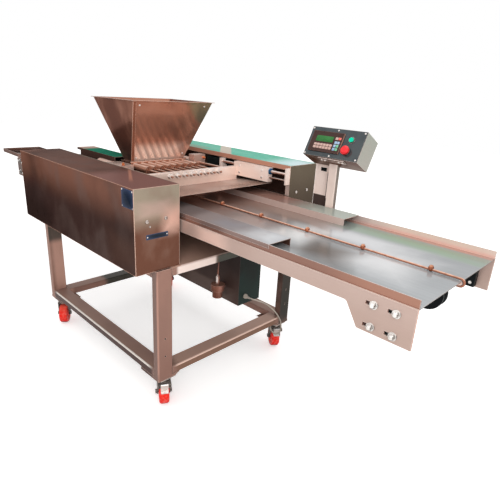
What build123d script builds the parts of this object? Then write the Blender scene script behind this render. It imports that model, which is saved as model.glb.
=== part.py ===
import os
from math import acos, asin, atan2, cos, hypot, pi, radians, sin

from build123d import *

os.makedirs("parts", exist_ok=True)

# Driving sizes in millimetres, +X to the outfeed, +Y to the back, +Z up, origin on the floor
sheet = 2.0
shaft_fit = 0.05
free_fit = 0.3
face_gap = 0.3

# Base frame of rectangular tube
base_length = 1170.0
base_width = 920.0
tube_wide = 80.0
tube_thin = 40.0
tube_wall = 3.0
tube_corner = 6.0
frame_top = 724.0
middle_beam_x = -20.0
foot_plate = 13.0
foot_along = 147.0
foot_across = 93.0
foot_slope = 27.0
leg_hole = 9.0
leg_hole_z = 342.0
leg_hole_pitch = 92.0

# Casters
wheel_diameter = 125.0
wheel_width = 48.0
caster_height = 170.0
caster_plate = 6.0
caster_plate_x = 80.0
caster_plate_y = 84.0
caster_inset_x = 42.0
caster_inset_y = 58.0
caster_trail = 20.0
king_pin = 14.0
pin_head = 24.0
pin_head_thick = 6.0
axle_diameter = 12.0
hub_radius = 22.0
hub_bevel = 2.0
disc_inset = 6.0
rim_inner = 44.0
rim_inset = 1.0
tread_bevel = 6.0
tread_round = 1.5
fork_sheet = 5.0
fork_nose = 22.0
fork_waist = 14.0
fork_toe = 10.0
fork_toe_drop = 12.0
fork_clear = 3.0
crown_thick = 6.0
crown_gap = 11.0
crown_over = 3.0
cup_radius = 30.0
pedal_width = 36.0
pedal_low = 98.0
pedal_lip = 14.0
pedal_thick = 4.0
ear_long = 18.0
ear_pin = 10.0
pedal_pin = 5.0
caster_turn = {"near_outfeed": 150.0, "near_infeed": -36.0, "far_outfeed": 145.0, "far_infeed": 150.0}
braked_casters = ("near_outfeed", "far_outfeed")

# Casings on both sides of the head
casing_in = 335.0
casing_out = 552.0
casing_inset = 10.0
near_casing_top = 1084.0
far_casing_over = 26.0
far_casing_top = 1112.0
casing_lip = 24.0
ledge_wide = 30.0

# Conveyor
table_z = 927.0
table_thick = 3.0
table_half = 324.0
table_outfeed = 1628.0
table_infeed = 1330.0
lip_z = 955.0
side_thick = 6.0
side_low = 873.0
drop_out_low = 797.0
drop_in_low = 807.0
drop_out_long = 176.0
drop_out_slope = 47.0
drop_in_long = 149.0
drop_in_slope = 51.0
drop_round = 16.0
guide_inner = 200.0
guide_flange = 14.0
near_guide_short = 556.0
far_guide_short = 586.0
notch_depth = 60.0
notch_half = 14.0
shelf_lap = 40.0
shelf_lip = 25.0
shelf_side = 312.0
shelf_middle = 50.0
stand_inset = 135.0
stand_size = 40.0
stand_drop = 9.0

# Pulleys, bearings and the cord with its pushers
outfeed_axis_back = 94.0
outfeed_axis_z = 855.0
infeed_axis_back = 81.0
infeed_axis_z = 871.0
outfeed_pulley_radius = 52.0
infeed_pulley_radius = 45.0
pulley_wide = 40.0
shaft_diameter = 25.0
housing_half = 52.0
housing_deep = 28.0
shaft_end_room = 6.0
bolt_pitch = 72.0
bolt_diameter = 12.0
bolt_head = 19.0
bolt_head_high = 6.0
bolt_dome = 8.6
washer_diameter = 27.0
washer_thick = 3.0
slot_long = 36.0
slot_back = 28.0
slot_wide = 13.0
cord_diameter = 8.0
cord_y = -9.0
cord_z = 933.0
cord_edge_radius = 30.0
nose_over = 8.0
nose_web = 70.0
nose_wide = 9.0
infeed_corner = 118.0
pusher_diameter = 22.0
pusher_rise = 5.0
pusher_long = 14.0
pusher_sole = 1.0
pusher_pitch = 260.0
pusher_end_room = 104.0
pusher_start_room = 60.0

# Depositing head
lanes = 8
lane_pitch = 45.0
head_plate_thick = 10.0
head_plate_front = 20.0
head_plate_back = 560.0
head_plate_lap = 25.0
manifold_low = 1003.0
manifold_over = 3.0
manifold_side = 3.5
manifold_foot = 20.0
valve_x = -103.5
valve_z = 1036.0
valve_radius = 16.0
crank_gap = 6.0
feed_hole = 20.0
outlet_hole = 10.0
crank_reach = 30.0
crank_thick = 10.0
cylinder_rise = 9.0
bore_radius = 16.3
tube_radius = 19.0
tube_end = 75.0
flange_thick = 8.0
flange_under = 31.0
flange_notch = 7.0
gland_radius = 12.0
gland_long = 6.0
piston_long = 24.0
piston_rest_front = 70.0
piston_rod = 12.0
rod_over = 8.0
nozzle_radius = 12.0
nozzle_tip_radius = 5.0
nozzle_hole = 6.0
nozzle_tip_z = 954.0
nozzle_cone = 18.0
nozzle_room = 9.0

# Hopper
hopper_rim_z = 1387.0
hopper_rim_x = 410.0
hopper_rim_y = 513.0
hopper_rim_wide = 10.0
hopper_foot_x = 71.0
hopper_foot_y = 344.0
hopper_flange = 12.0
hopper_flange_thick = 4.0

# Piston carriage
bar_back = 225.0
bar_front = 255.0
bar_low = 990.0
bar_over = 15.0
nut_flats = 22.0
nut_high = 10.0
carriage_back = 230.0
carriage_room = 16.0
carriage_thick = 34.0
carriage_clear = 1.0
carriage_over = 18.0
carriage_under = 24.0
stroke = 100.0
guide_upper_z = 1068.0
guide_lower_z = 1036.0
near_carriage_under = 15.0
near_upper_z = 1052.0
near_lower_z = 1024.0
guide_upper_d = 16.0
guide_lower_d = 12.0
seal_diameter = 32.0
seal_thick = 6.0
guard_rise = 17.0

# Drive cylinders, covers and brackets
drive_y = 243.0
drive_rod = 16.0
drive_block_long = 50.0
near_block_long = 140.0
drive_block_gap = 3.0
drive_block_out = 280.0
drive_block_over = 27.0
near_block_under = 2.0
drive_barrel = 44.0
drive_barrel_reach = 270.0
barrel_end = 20.0
drive_rod_reach = 100.0
cover_in = 113.0
cover_wide = 106.0
cover_rise = 18.0
cover_past = 21.0
cover_overhang = 40.0
cover_lip = 12.0
cover_gap = 4.0
bracket_long = 19.0
end_bracket_long = 8.0
end_bracket_low = 1016.0
near_bracket_inset = 50.0
bracket_clear = 4.0
bracket_wide = 30.0
bracket_lap = 10.0
bracket_lap_high = 90.0
bracket_over = 4.0
end_bracket_over = 24.0
actuator_back = -46.0
actuator_front = 98.0
actuator_deep = 85.0
actuator_top = 1075.0

# Operator panel on its post
panel_length = 290.0
panel_high = 141.0
panel_deep = 109.0
panel_mid_x = 883.0
panel_low_y = 260.0
panel_low_z = 1196.0
panel_tilt = 27.5
panel_face_thick = 3.0
post_offset = 17.0
post_wide = 48.0
post_deep = 27.0
post_low = 845.0
post_flange = 6.0
post_foot = 56.0
terminal_a = -43.0
terminal_b = 0.0
terminal_long = 166.0
terminal_high = 97.0
terminal_thick = 7.0
start_a = 82.0
start_b = 24.0
start_diameter = 22.0
stop_a = 75.0
stop_b = -29.0
stop_diameter = 40.0
stem_diameter = 16.0
stem_deep = 24.0
collar_ring = 4.0
collar_high = 4.0
button_room = 5.0
duct_offset = 142.0
duct_wide = 95.0
duct_behind = 48.0
duct_deep = 28.0
duct_slot_inset = 30.0
duct_low = 993.0
duct_slot_low = 1112.0
duct_slot_high = 1130.0
junction_top = 925.0
junction_low = 862.0

# Control cabinet, supply cable and air filter
cabinet_inset = 37.0
cabinet_y0 = 70.0
cabinet_y1 = 230.0
cabinet_low = 380.0
cable_diameter = 7.5
gland_y = 119.0
gland_z = 424.0
cable_inset = 13.0
cable_end_y = 322.0
cable_rise = 33.0
filter_back = 118.0
filter_cap_radius = 36.0
filter_cap_low = 445.0
filter_cap_top = 480.0
filter_bowl_radius = 27.0
filter_bowl_low = 405.0
filter_gap = 8.0
hose_diameter = 10.0
stem_top = 526.0


def block(x0, x1, y0, y1, z0, z1):
    middle = Pos((x0 + x1) / 2, (y0 + y1) / 2, (z0 + z1) / 2)
    return middle * Box(abs(x1 - x0), abs(y1 - y0), abs(z1 - z0))


def rod_x(x0, x1, y, z, radius):
    return Pos((x0 + x1) / 2, y, z) * Rot(0, 90, 0) * Cylinder(radius, abs(x1 - x0))


def rod_y(y0, y1, x, z, radius):
    return Pos(x, (y0 + y1) / 2, z) * Rot(90, 0, 0) * Cylinder(radius, abs(y1 - y0))


def rod_z(z0, z1, x, y, radius):
    return Pos(x, y, (z0 + z1) / 2) * Cylinder(radius, abs(z1 - z0))


def hex_x(x0, x1, y, z, flats):
    plane = Plane(origin=(x0, y, z), x_dir=(0, 1, 0), z_dir=(1, 0, 0))
    return extrude(plane * RegularPolygon(flats / 2, 6, major_radius=False), x1 - x0)


def box_tube(plane, wide, high, length):
    outer = RectangleRounded(wide, high, tube_corner)
    inner = RectangleRounded(wide - 2 * tube_wall, high - 2 * tube_wall, tube_corner - tube_wall)
    return extrude(plane * (outer - inner), length)


def other_side(shape):
    return mirror(shape, about=Plane.XZ)


def save(name, *solids):
    flat = []
    for item in solids:
        flat.extend(item.solids())
    shape = flat[0] if len(flat) == 1 else Compound(children=flat)
    export_step(shape, "parts/" + name + ".step")
    print(name, len(flat), round(sum(s.volume for s in flat) / 1000.0, 1), "cm3")


# Base frame: four legs, lower rails, upper rails and one middle beam
leg_x = base_length / 2 - tube_thin / 2
leg_y = base_width / 2 - tube_wide / 2
frame_low = caster_height + foot_plate
rail_end_x = base_length / 2 - tube_thin
rail_end_y = base_width / 2 - tube_wide
end_rail_x = base_length / 2 - tube_wide / 2
pin_x = base_length / 2 - caster_inset_x
pin_y = base_width / 2 - caster_inset_y
near_casing_half = base_length / 2 - casing_inset
far_casing_end = base_length / 2 + far_casing_over
ledge_z = lip_z + sheet


def leg(side_x, side_y):
    plane = Plane(origin=(leg_x, leg_y, caster_height), x_dir=(1, 0, 0), z_dir=(0, 0, 1))
    corner = box_tube(plane, tube_thin, tube_wide, frame_top - caster_height)
    for i in (-1, 1):
        z = leg_hole_z + i * leg_hole_pitch / 2
        corner -= rod_x(leg_x, leg_x + tube_thin, leg_y, z, leg_hole / 2)
    edge = base_width / 2
    outline = Polygon((edge - foot_across, caster_height), (edge, caster_height), (edge, frame_low),
                      (edge - foot_across - foot_slope, frame_low), align=None)
    foot_plane = Plane(origin=(base_length / 2 - foot_along, 0, 0), x_dir=(0, 1, 0), z_dir=(1, 0, 0))
    corner += extrude(foot_plane * outline, foot_along)
    if side_x < 0:
        corner = mirror(corner, about=Plane.YZ)
    return other_side(corner) if side_y < 0 else corner


def side_rail(side_y, z):
    plane = Plane(origin=(-rail_end_x, side_y * leg_y, z), x_dir=(0, 1, 0), z_dir=(1, 0, 0))
    return box_tube(plane, tube_wide, tube_thin, 2 * rail_end_x)


def end_rail(x, z):
    plane = Plane(origin=(x, -rail_end_y, z), x_dir=(1, 0, 0), z_dir=(0, 1, 0))
    return box_tube(plane, tube_wide, tube_thin, 2 * rail_end_y)


corners = {"near_outfeed": (1, -1), "near_infeed": (-1, -1), "far_outfeed": (1, 1), "far_infeed": (-1, 1)}
low_rail_z = frame_low + tube_thin / 2
top_rail_z = frame_top - tube_thin / 2
under_top_rail = frame_top - tube_thin
save("legs", *[leg(*side) for side in corners.values()])
save("lower_rails", side_rail(-1, low_rail_z), side_rail(1, low_rail_z),
     end_rail(end_rail_x, low_rail_z), end_rail(-end_rail_x, low_rail_z))
save("upper_rails", side_rail(-1, top_rail_z), side_rail(1, top_rail_z), end_rail(end_rail_x, top_rail_z),
     end_rail(-end_rail_x, top_rail_z), end_rail(middle_beam_x, top_rail_z))
save("bed_sheet", block(-base_length / 2, base_length / 2, -casing_in, casing_in, frame_top, frame_top + sheet))

# Casters: fixed top plate with its king pin, swivelling fork, wheel and brake pedal
wheel_radius = wheel_diameter / 2
plate_low = caster_height - caster_plate
cup_top = plate_low - face_gap
crown_low = wheel_diameter + crown_gap
crown_top = crown_low + crown_thick
leg_in = wheel_width / 2 + fork_clear
leg_out = leg_in + fork_sheet
crown_back = -cup_radius - crown_over
pedal_u = -cup_radius - ear_pin
pedal_z = crown_low - 2


def caster_top():
    plate = block(-caster_plate_x / 2, caster_plate_x / 2, -caster_plate_y / 2, caster_plate_y / 2,
                  plate_low, caster_height)
    pin = rod_z(crown_low - face_gap - pin_head_thick, plate_low, 0, 0, king_pin / 2)
    head = rod_z(crown_low - face_gap - pin_head_thick, crown_low - face_gap, 0, 0, pin_head / 2)
    return plate + pin + head


def caster_fork(braked):
    nose = caster_trail + fork_nose
    crown = block(crown_back, nose, -leg_out, leg_out, crown_low, crown_top)
    cup = rod_z(crown_top, cup_top, 0, 0, cup_radius)
    toe_z = wheel_radius - fork_toe_drop
    side = Polygon((crown_back, crown_top), (caster_trail - fork_waist, wheel_radius),
                   (caster_trail - fork_toe, toe_z), (caster_trail + fork_toe, toe_z),
                   (caster_trail + fork_waist, wheel_radius), (nose, crown_low), (nose, crown_top), align=None)
    plane = Plane(origin=(0, leg_in, 0), x_dir=(1, 0, 0), z_dir=(0, -1, 0))
    arm = extrude(plane * side, -fork_sheet)
    axle = rod_y(-leg_out, leg_out, caster_trail, wheel_radius, axle_diameter / 2)
    nut_plane = Plane(origin=(caster_trail, leg_out, wheel_radius), x_dir=(1, 0, 0), z_dir=(0, 1, 0))
    nut = extrude(nut_plane * RegularPolygon(axle_diameter * 0.79, 6, major_radius=False), 8)
    fork = crown + cup + arm + other_side(arm) + axle + nut + other_side(nut)
    if braked:
        ear = block(-cup_radius - ear_long, crown_back, pedal_width / 2 + face_gap, leg_out,
                    crown_low - 12, crown_top)
        pin = rod_y(-leg_out, leg_out, pedal_u, pedal_z, pedal_pin / 2)
        fork = fork + ear + other_side(ear) + pin
    return fork - rod_z(0, caster_height, 0, 0, king_pin / 2 + shaft_fit)


def caster_wheel():
    half = wheel_width / 2
    disc = half - disc_inset
    rim = half - rim_inset
    bore = axle_diameter / 2 + shaft_fit
    side = [(bore, half), (hub_radius, half), (hub_radius + hub_bevel, disc), (rim_inner - hub_bevel, disc),
            (rim_inner, rim), (wheel_radius - tread_bevel, rim), (wheel_radius - tread_round, half - tread_bevel),
            (wheel_radius, half - 2 * tread_bevel)]
    profile = Polygon(*[(r, -y) for r, y in side], *reversed(side), align=None)
    turned = revolve(Plane.XY * profile, Axis.Y)
    return Pos(caster_trail, 0, wheel_radius) * turned


def brake_pedal():
    half = pedal_width / 2
    barrel = rod_y(-half, half, pedal_u, pedal_z, pedal_pin + 1)
    flap = block(pedal_u - pedal_thick / 2, pedal_u + pedal_thick / 2, -half, half, pedal_low, pedal_z)
    lip = block(pedal_u - pedal_thick / 2 - pedal_lip, pedal_u, -half, half, pedal_low, pedal_low + pedal_thick)
    return barrel + flap + lip - rod_y(-pedal_width, pedal_width, pedal_u, pedal_z, pedal_pin / 2 + shaft_fit)


tops = []
for corner, side in corners.items():
    spot = Pos(side[0] * pin_x, side[1] * pin_y, 0)
    turned = spot * Rot(0, 0, caster_turn[corner])
    tops.append(spot * caster_top())
    save("caster_fork_" + corner, turned * caster_fork(corner in braked_casters))
    save("caster_wheel_" + corner, turned * caster_wheel())
    if corner in braked_casters:
        save("brake_pedal_" + corner, turned * brake_pedal())
save("caster_plates", *tops)


# Casings: folded sheet shells, open to the head above the ledge, each with its own end plate
def casing(x0, x1, top):
    outer = block(x0, x1, casing_out - sheet, casing_out, frame_top, top)
    roof = block(x0, x1, casing_in, casing_out, top - sheet, top)
    end = block(x0, x0 + sheet, casing_in, casing_out, frame_top, top)
    wall = block(x0, x1, casing_in, casing_in + sheet, frame_top, ledge_z)
    ledge = block(x0, x1, casing_in, casing_in + ledge_wide, ledge_z - sheet, ledge_z)
    lip = block(x0, x1, casing_in, casing_in + sheet, top - casing_lip, top)
    feet = block(x0, x1, casing_in, casing_in + ledge_wide, frame_top, frame_top + sheet)
    feet += block(x0, x1, casing_out - 5 * ledge_wide, casing_out, frame_top, frame_top + sheet)
    return outer + roof + end + wall + ledge + lip + feet


def end_plate(x1, top):
    return block(x1 - sheet, x1, casing_in, casing_out, frame_top, top)


save("near_casing", other_side(casing(-near_casing_half, near_casing_half - sheet, near_casing_top)))
save("near_end_cover", other_side(end_plate(near_casing_half, near_casing_top)))
save("far_casing", casing(-near_casing_half, far_casing_end - sheet, far_casing_top))
far_flange = block(far_casing_end - casing_lip, far_casing_end, casing_in, casing_in + sheet, ledge_z,
                   far_casing_top - casing_lip)
save("far_end_plate", end_plate(far_casing_end, far_casing_top) + far_flange)

# Conveyor table, side plates, guides, infeed shelf and stands
table_low = table_z - table_thick
tray_half = table_half - side_thick
tray = block(-table_infeed, table_outfeed, -tray_half, tray_half, table_low, table_z)
lip = block(-table_infeed, table_outfeed, tray_half - table_thick, tray_half, table_z, lip_z)
notch = block(-table_infeed, -table_infeed + notch_depth, cord_y - notch_half, cord_y + notch_half,
              table_low, table_z)
cord_radius = cord_diameter / 2
return_z = outfeed_axis_z + outfeed_pulley_radius
nose_turn = 0.49 * (cord_z - return_z)
nose_radius = nose_turn - cord_radius - free_fit
nose_x = table_outfeed + nose_over - nose_turn
nose_z = (cord_z + return_z) / 2
nose_in = cord_y + nose_wide / 2
nose_out = cord_y - nose_wide / 2
nose = rod_y(nose_out, nose_in, nose_x, nose_z, nose_radius)
nose += block(nose_x - nose_web, nose_x, nose_out, nose_in, nose_z - nose_radius, table_z)
save("table_tray", tray + lip + other_side(lip) + nose - notch)

drop_out_end = table_outfeed - drop_out_long
drop_out_start = drop_out_end - drop_out_slope
drop_in_end = table_infeed - drop_in_long
drop_in_start = drop_in_end - drop_in_slope
outfeed_axis_x = table_outfeed - outfeed_axis_back
infeed_axis_x = infeed_axis_back - table_infeed
half_pitch = bolt_pitch / 2
bearing_spots = ((outfeed_axis_x, outfeed_axis_z), (infeed_axis_x, infeed_axis_z))
bolt_spots = [(x + i * half_pitch, z + k * half_pitch) for x, z in bearing_spots for i in (-1, 1) for k in (-1, 1)]


def side_plate():
    outline = Polygon((-table_infeed, table_z), (-table_infeed, drop_in_low), (-drop_in_end, drop_in_low),
                      (-drop_in_start, side_low), (drop_out_start, side_low), (drop_out_end, drop_out_low),
                      (table_outfeed, drop_out_low), (table_outfeed, table_z), align=None)
    plane = Plane(origin=(0, tray_half, 0), x_dir=(1, 0, 0), z_dir=(0, -1, 0))
    plate = extrude(plane * outline, -side_thick)
    for bx, bz in ((-drop_in_start, side_low), (drop_out_start, side_low)):
        edge = [e for e in plate.edges() if abs(e.center().X - bx) < 0.1 and abs(e.center().Z - bz) < 0.1]
        plate = fillet(edge, drop_round)
    for x, z in bolt_spots:
        plate -= block(x - slot_back, x - slot_back + slot_long, 0, table_half, z - slot_wide / 2, z + slot_wide / 2)
    return plate


far_plate = side_plate()
save("side_plate_far", far_plate)
save("side_plate_near", other_side(far_plate))


shelf_front = shelf_lap - table_infeed


def guide(end):
    lid = block(shelf_front, end, guide_inner, tray_half + sheet, lip_z, lip_z + sheet)
    wall = block(shelf_front, end, guide_inner, guide_inner + sheet, table_z, lip_z)
    flange = block(shelf_front, end, tray_half, tray_half + sheet, lip_z - guide_flange, lip_z)
    return lid + wall + flange


save("near_guide", other_side(guide(table_outfeed - near_guide_short)))
save("far_guide", guide(table_outfeed - far_guide_short))
stand_x = base_length / 2 - stand_inset
stand_top = table_low - stand_drop


def stand(side_x, side_y):
    y = side_y * (tray_half - stand_size / 2)
    plane = Plane(origin=(side_x * stand_x, y, frame_top + sheet), x_dir=(1, 0, 0), z_dir=(0, 0, 1))
    return box_tube(plane, stand_size, stand_size, stand_top - frame_top - sheet)


save("conveyor_stands", *[stand(*side) for side in corners.values()])

# Bearings, plate bolts and pulleys with their shafts
housing_out = tray_half
housing_in = housing_out - housing_deep
housings = []
bolts = []
for x, z in bearing_spots:
    body = block(x - housing_half, x + housing_half, housing_in, housing_out, z - housing_half, z + housing_half)
    body -= rod_y(housing_in, housing_out, x, z, shaft_diameter / 2 + shaft_fit)
    for i in (-1, 1):
        for k in (-1, 1):
            body -= rod_y(housing_in, housing_out, x + i * half_pitch, z + k * half_pitch,
                          bolt_diameter / 2 + shaft_fit)
    housings += [body, other_side(body)]
for x, z in bolt_spots:
    shank = rod_y(housing_in, table_half, x, z, bolt_diameter / 2)
    washer = rod_y(table_half, table_half + washer_thick, x, z, washer_diameter / 2)
    head_plane = Plane(origin=(x, table_half + washer_thick, z), x_dir=(1, 0, 0), z_dir=(0, 1, 0))
    head = extrude(head_plane * RegularPolygon(bolt_head / 2, 6, major_radius=False), bolt_head_high)
    cap = Pos(x, table_half + washer_thick + bolt_head_high, z) * Sphere(bolt_dome)
    bolt = shank + washer + head + cap
    bolts += [bolt, other_side(bolt)]
save("bearing_housings", *housings)
save("plate_bolts", *bolts)

groove = cord_radius + free_fit


def pulley(x, z, radius):
    half = pulley_wide / 2
    end = housing_out - shaft_end_room
    bed = radius - groove
    rim = radius + groove
    low = cord_y - half
    high = cord_y + half
    profile = Polygon((0, -end), (shaft_diameter / 2, -end), (shaft_diameter / 2, low), (rim, low), (rim, low + 5),
                      (bed, cord_y - groove), (bed, cord_y + groove), (rim, high - 5), (rim, high),
                      (shaft_diameter / 2, high), (shaft_diameter / 2, end), (0, end), align=None)
    return Pos(x, 0, z) * revolve(Plane.XY * profile, Axis.Y)


save("outfeed_pulley", pulley(outfeed_axis_x, outfeed_axis_z, outfeed_pulley_radius))
save("infeed_pulley", pulley(infeed_axis_x, infeed_axis_z, infeed_pulley_radius))


# Cord: one closed loop over the table, round the nose, over the drive pulley and round the infeed pulley
def tangent_point(px, pz, cx, cz, radius, turn):
    away = atan2(pz - cz, px - cx)
    angle = away + turn * acos(radius / hypot(px - cx, pz - cz))
    return cx + radius * cos(angle), cz + radius * sin(angle)


def meet(p, q, r, s):
    ax, az, bx, bz = q[0] - p[0], q[1] - p[1], s[0] - r[0], s[1] - r[1]
    t = ((r[0] - p[0]) * bz - (r[1] - p[1]) * bx) / (ax * bz - az * bx)
    return p[0] + t * ax, p[1] + t * az


top_right = (table_outfeed + nose_over, cord_z)
nose_low = (table_outfeed + nose_over, return_z)
over_pulley = (outfeed_axis_x, return_z)
top_left = (infeed_axis_x - infeed_corner, cord_z)
left_touch = tangent_point(*top_left, infeed_axis_x, infeed_axis_z, infeed_pulley_radius, 1)
low_left = tangent_point(*over_pulley, infeed_axis_x, infeed_axis_z, infeed_pulley_radius, -1)
bottom_left = meet(top_left, left_touch, low_left, over_pulley)
loop_points = [(p[0], cord_y, p[1]) for p in (top_left, top_right, nose_low, over_pulley, bottom_left)]
loop_radii = [cord_edge_radius, nose_turn, nose_turn, outfeed_pulley_radius, infeed_pulley_radius]
loop = FilletPolyline(*loop_points, radius=loop_radii, close=True)
ring = Plane(origin=loop @ 0, z_dir=loop % 0) * Circle(cord_radius)
cord = sweep(ring, path=loop)
save("pusher_cord", cord)

pushers = []
last = table_outfeed - pusher_end_room
pusher_count = int((last + table_infeed - pusher_start_room) / pusher_pitch) + 1
for i in range(pusher_count):
    x = last - i * pusher_pitch
    bead = rod_x(x - pusher_long / 2, x + pusher_long / 2, cord_y, cord_z + pusher_rise, pusher_diameter / 2)
    bead = chamfer(bead.edges(), pusher_diameter / 6)
    bead -= block(x - pusher_long, x + pusher_long, cord_y - pusher_diameter, cord_y + pusher_diameter,
                  table_z - pusher_diameter, table_z + pusher_sole)
    pushers.append(bead - rod_x(x - pusher_long, x + pusher_long, cord_y, cord_z, cord_radius))
save("pushers", *pushers)

shelf_end = -(table_outfeed + nose_over + cord_radius)
shelf = block(shelf_end, shelf_front, -shelf_side, -shelf_middle, table_z, table_z + sheet)
shelf += block(shelf_end, shelf_end + sheet, -shelf_side, -shelf_middle, table_z, table_z + shelf_lip)
for y in (-shelf_side, -shelf_middle - sheet):
    shelf += block(shelf_end, shelf_front, y, y + sheet, table_z, table_z + shelf_lip)
save("infeed_shelf", shelf)

# Head plate across both ledges, with the manifold, valve, cylinders, nozzles and hopper on it
lane_y = [(i - (lanes - 1) / 2) * lane_pitch for i in range(lanes)]
head_top = ledge_z + head_plate_thick
slot_half = nozzle_radius + nozzle_room
head_plate_half = casing_in + head_plate_lap
manifold_front = valve_x + hopper_foot_x / 2 + hopper_flange
manifold_back = valve_x - hopper_foot_x / 2 - hopper_flange
manifold_half = (lanes - 1) / 2 * lane_pitch + tube_radius + manifold_side
valve_end = manifold_half + crank_gap + crank_thick
cylinder_z = valve_z + cylinder_rise
manifold_top = cylinder_z + tube_radius + manifold_over
plate = block(-head_plate_back, head_plate_front, -head_plate_half, head_plate_half, ledge_z, head_top)
plate -= block(valve_x - slot_half, valve_x + slot_half, -manifold_half, manifold_half, ledge_z, head_top)
save("head_plate", plate)

manifold = block(manifold_back, manifold_front, -manifold_half, manifold_half, manifold_low, manifold_top)
for x in (manifold_back, manifold_front - manifold_foot):
    manifold += block(x, x + manifold_foot, -manifold_half, manifold_half, head_top, manifold_low)
manifold -= rod_y(-manifold_half, manifold_half, valve_x, valve_z, valve_radius + shaft_fit)
for y in lane_y:
    manifold -= rod_x(valve_x, manifold_front, y, valve_z, outlet_hole / 2)
    manifold -= rod_z(valve_z, manifold_top, valve_x, y, feed_hole / 2)
    manifold -= rod_z(manifold_low, valve_z, valve_x, y, outlet_hole / 2)
save("manifold", manifold)

spindle = rod_y(-valve_end, valve_end, valve_x, valve_z, valve_radius)
for y in lane_y:
    spindle -= rod_z(valve_z, valve_z + valve_radius, valve_x, y, outlet_hole / 2)
    spindle -= rod_x(valve_x, valve_x + valve_radius, y, valve_z, outlet_hole / 2)
crank = block(valve_x - crank_reach, valve_x, valve_end - crank_thick, valve_end, valve_z - 9, valve_z + 9)
save("valve_spindle", spindle + crank)

tubes = []
nozzles = []
for y in lane_y:
    tubes.append(rod_x(manifold_front, tube_end, y, cylinder_z, tube_radius)
                 - rod_x(manifold_front, tube_end, y, cylinder_z, bore_radius))
    body = rod_z(nozzle_tip_z + nozzle_cone, manifold_low, valve_x, y, nozzle_radius)
    tip = Pos(valve_x, y, nozzle_tip_z + nozzle_cone / 2) * Cone(nozzle_tip_radius, nozzle_radius, nozzle_cone)
    nozzles.append(body + tip - rod_z(nozzle_tip_z, manifold_low, valve_x, y, nozzle_hole / 2))
save("cylinder_tubes", *tubes)
save("nozzles", *nozzles)

flange_front = tube_end + flange_thick
flange = block(tube_end, flange_front, -manifold_half, manifold_half, cylinder_z - flange_under,
               cylinder_z - flange_notch)
for y in lane_y:
    flange += rod_x(tube_end, flange_front, y, cylinder_z, tube_radius)
for y in lane_y:
    flange += rod_x(flange_front, flange_front + gland_long, y, cylinder_z, gland_radius)
    flange -= rod_x(tube_end, flange_front + gland_long, y, cylinder_z, piston_rod / 2 + free_fit)
save("front_flange", flange)

foot_flange = block(valve_x - hopper_foot_x / 2 - hopper_flange, valve_x + hopper_foot_x / 2 + hopper_flange,
                    -hopper_foot_y / 2 - hopper_flange, hopper_foot_y / 2 + hopper_flange,
                    manifold_top, manifold_top + hopper_flange_thick)
cone_low = manifold_top + hopper_flange_thick
mouth_x = hopper_rim_x - 2 * hopper_rim_wide
mouth_y = hopper_rim_y - 2 * hopper_rim_wide
skin = 2 * 1.2 * sheet


def pyramid(z0, z1, cut):
    low = Pos(valve_x, 0, z0) * Rectangle(hopper_foot_x - cut, hopper_foot_y - cut)
    high = Pos(valve_x, 0, z1) * Rectangle(mouth_x - cut, mouth_y - cut)
    return loft([low, high])


rim = block(valve_x - hopper_rim_x / 2, valve_x + hopper_rim_x / 2, -hopper_rim_y / 2, hopper_rim_y / 2,
            hopper_rim_z - sheet, hopper_rim_z)
mouth = block(valve_x - (mouth_x - skin) / 2, valve_x + (mouth_x - skin) / 2, -(mouth_y - skin) / 2,
              (mouth_y - skin) / 2, hopper_rim_z - sheet, hopper_rim_z)
throat = block(valve_x - (hopper_foot_x - skin) / 2, valve_x + (hopper_foot_x - skin) / 2,
               -(hopper_foot_y - skin) / 2, (hopper_foot_y - skin) / 2, manifold_top, cone_low)
hopper = foot_flange + pyramid(cone_low, hopper_rim_z - sheet, 0) + rim
save("hopper", hopper - pyramid(cone_low, hopper_rim_z - sheet, skin) - mouth - throat)

# Piston carriage: rods with pistons, crossbar, nuts, blocks on guide rods, seals and drip guard
piston_back = piston_rest_front - piston_long
bar_half = casing_in - carriage_clear - carriage_thick
rods = []
nuts = []
rod_front = bar_front + 2 * nut_high + rod_over
bar = block(bar_back, bar_front, -bar_half, bar_half, bar_low, cylinder_z + bar_over)
for y in lane_y:
    rods.append(rod_x(piston_back, piston_rest_front, y, cylinder_z, bore_radius - free_fit)
                + rod_x(piston_rest_front, rod_front, y, cylinder_z, piston_rod / 2))
    bar -= rod_x(bar_back, bar_front, y, cylinder_z, piston_rod / 2)
    for k in range(2):
        x = bar_front + k * nut_high
        nuts.append(hex_x(x, x + nut_high, y, cylinder_z, nut_flats)
                    - rod_x(x, x + nut_high, y, cylinder_z, piston_rod / 2))
for side_y in (-1, 1):
    rods.append(rod_x(-drive_rod_reach, bar_back, side_y * drive_y, cylinder_z, drive_rod / 2))
save("piston_rods", *rods)
save("crossbar", bar)
save("rod_nuts", *nuts)

near_bracket_front = near_casing_half - near_bracket_inset
near_bracket_back = near_bracket_front - bracket_long
carriage_front = near_bracket_back - carriage_room
carriage_out = bar_half + carriage_thick
guide_y = bar_half + carriage_thick / 2
guard_high = bar_low + guard_rise
guard_line = Polygon((bar_back, bar_low - sheet), (bar_front, bar_low - sheet), (carriage_front, guard_high - sheet),
                     (carriage_front, guard_high), (bar_front, bar_low), (bar_back, bar_low), align=None)
guard_plane = Plane(origin=(0, carriage_out, 0), x_dir=(1, 0, 0), z_dir=(0, -1, 0))
save("drip_guard", extrude(guard_plane * guard_line, 2 * carriage_out))


def carriage_block(upper_z, lower_z, under):
    body = block(carriage_back, carriage_front, bar_half, carriage_out, lower_z - under, upper_z + carriage_over)
    for z, size in ((upper_z, guide_upper_d), (lower_z, guide_lower_d)):
        body -= rod_x(carriage_back, carriage_front, guide_y, z, size / 2 + shaft_fit)
    return body


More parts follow.
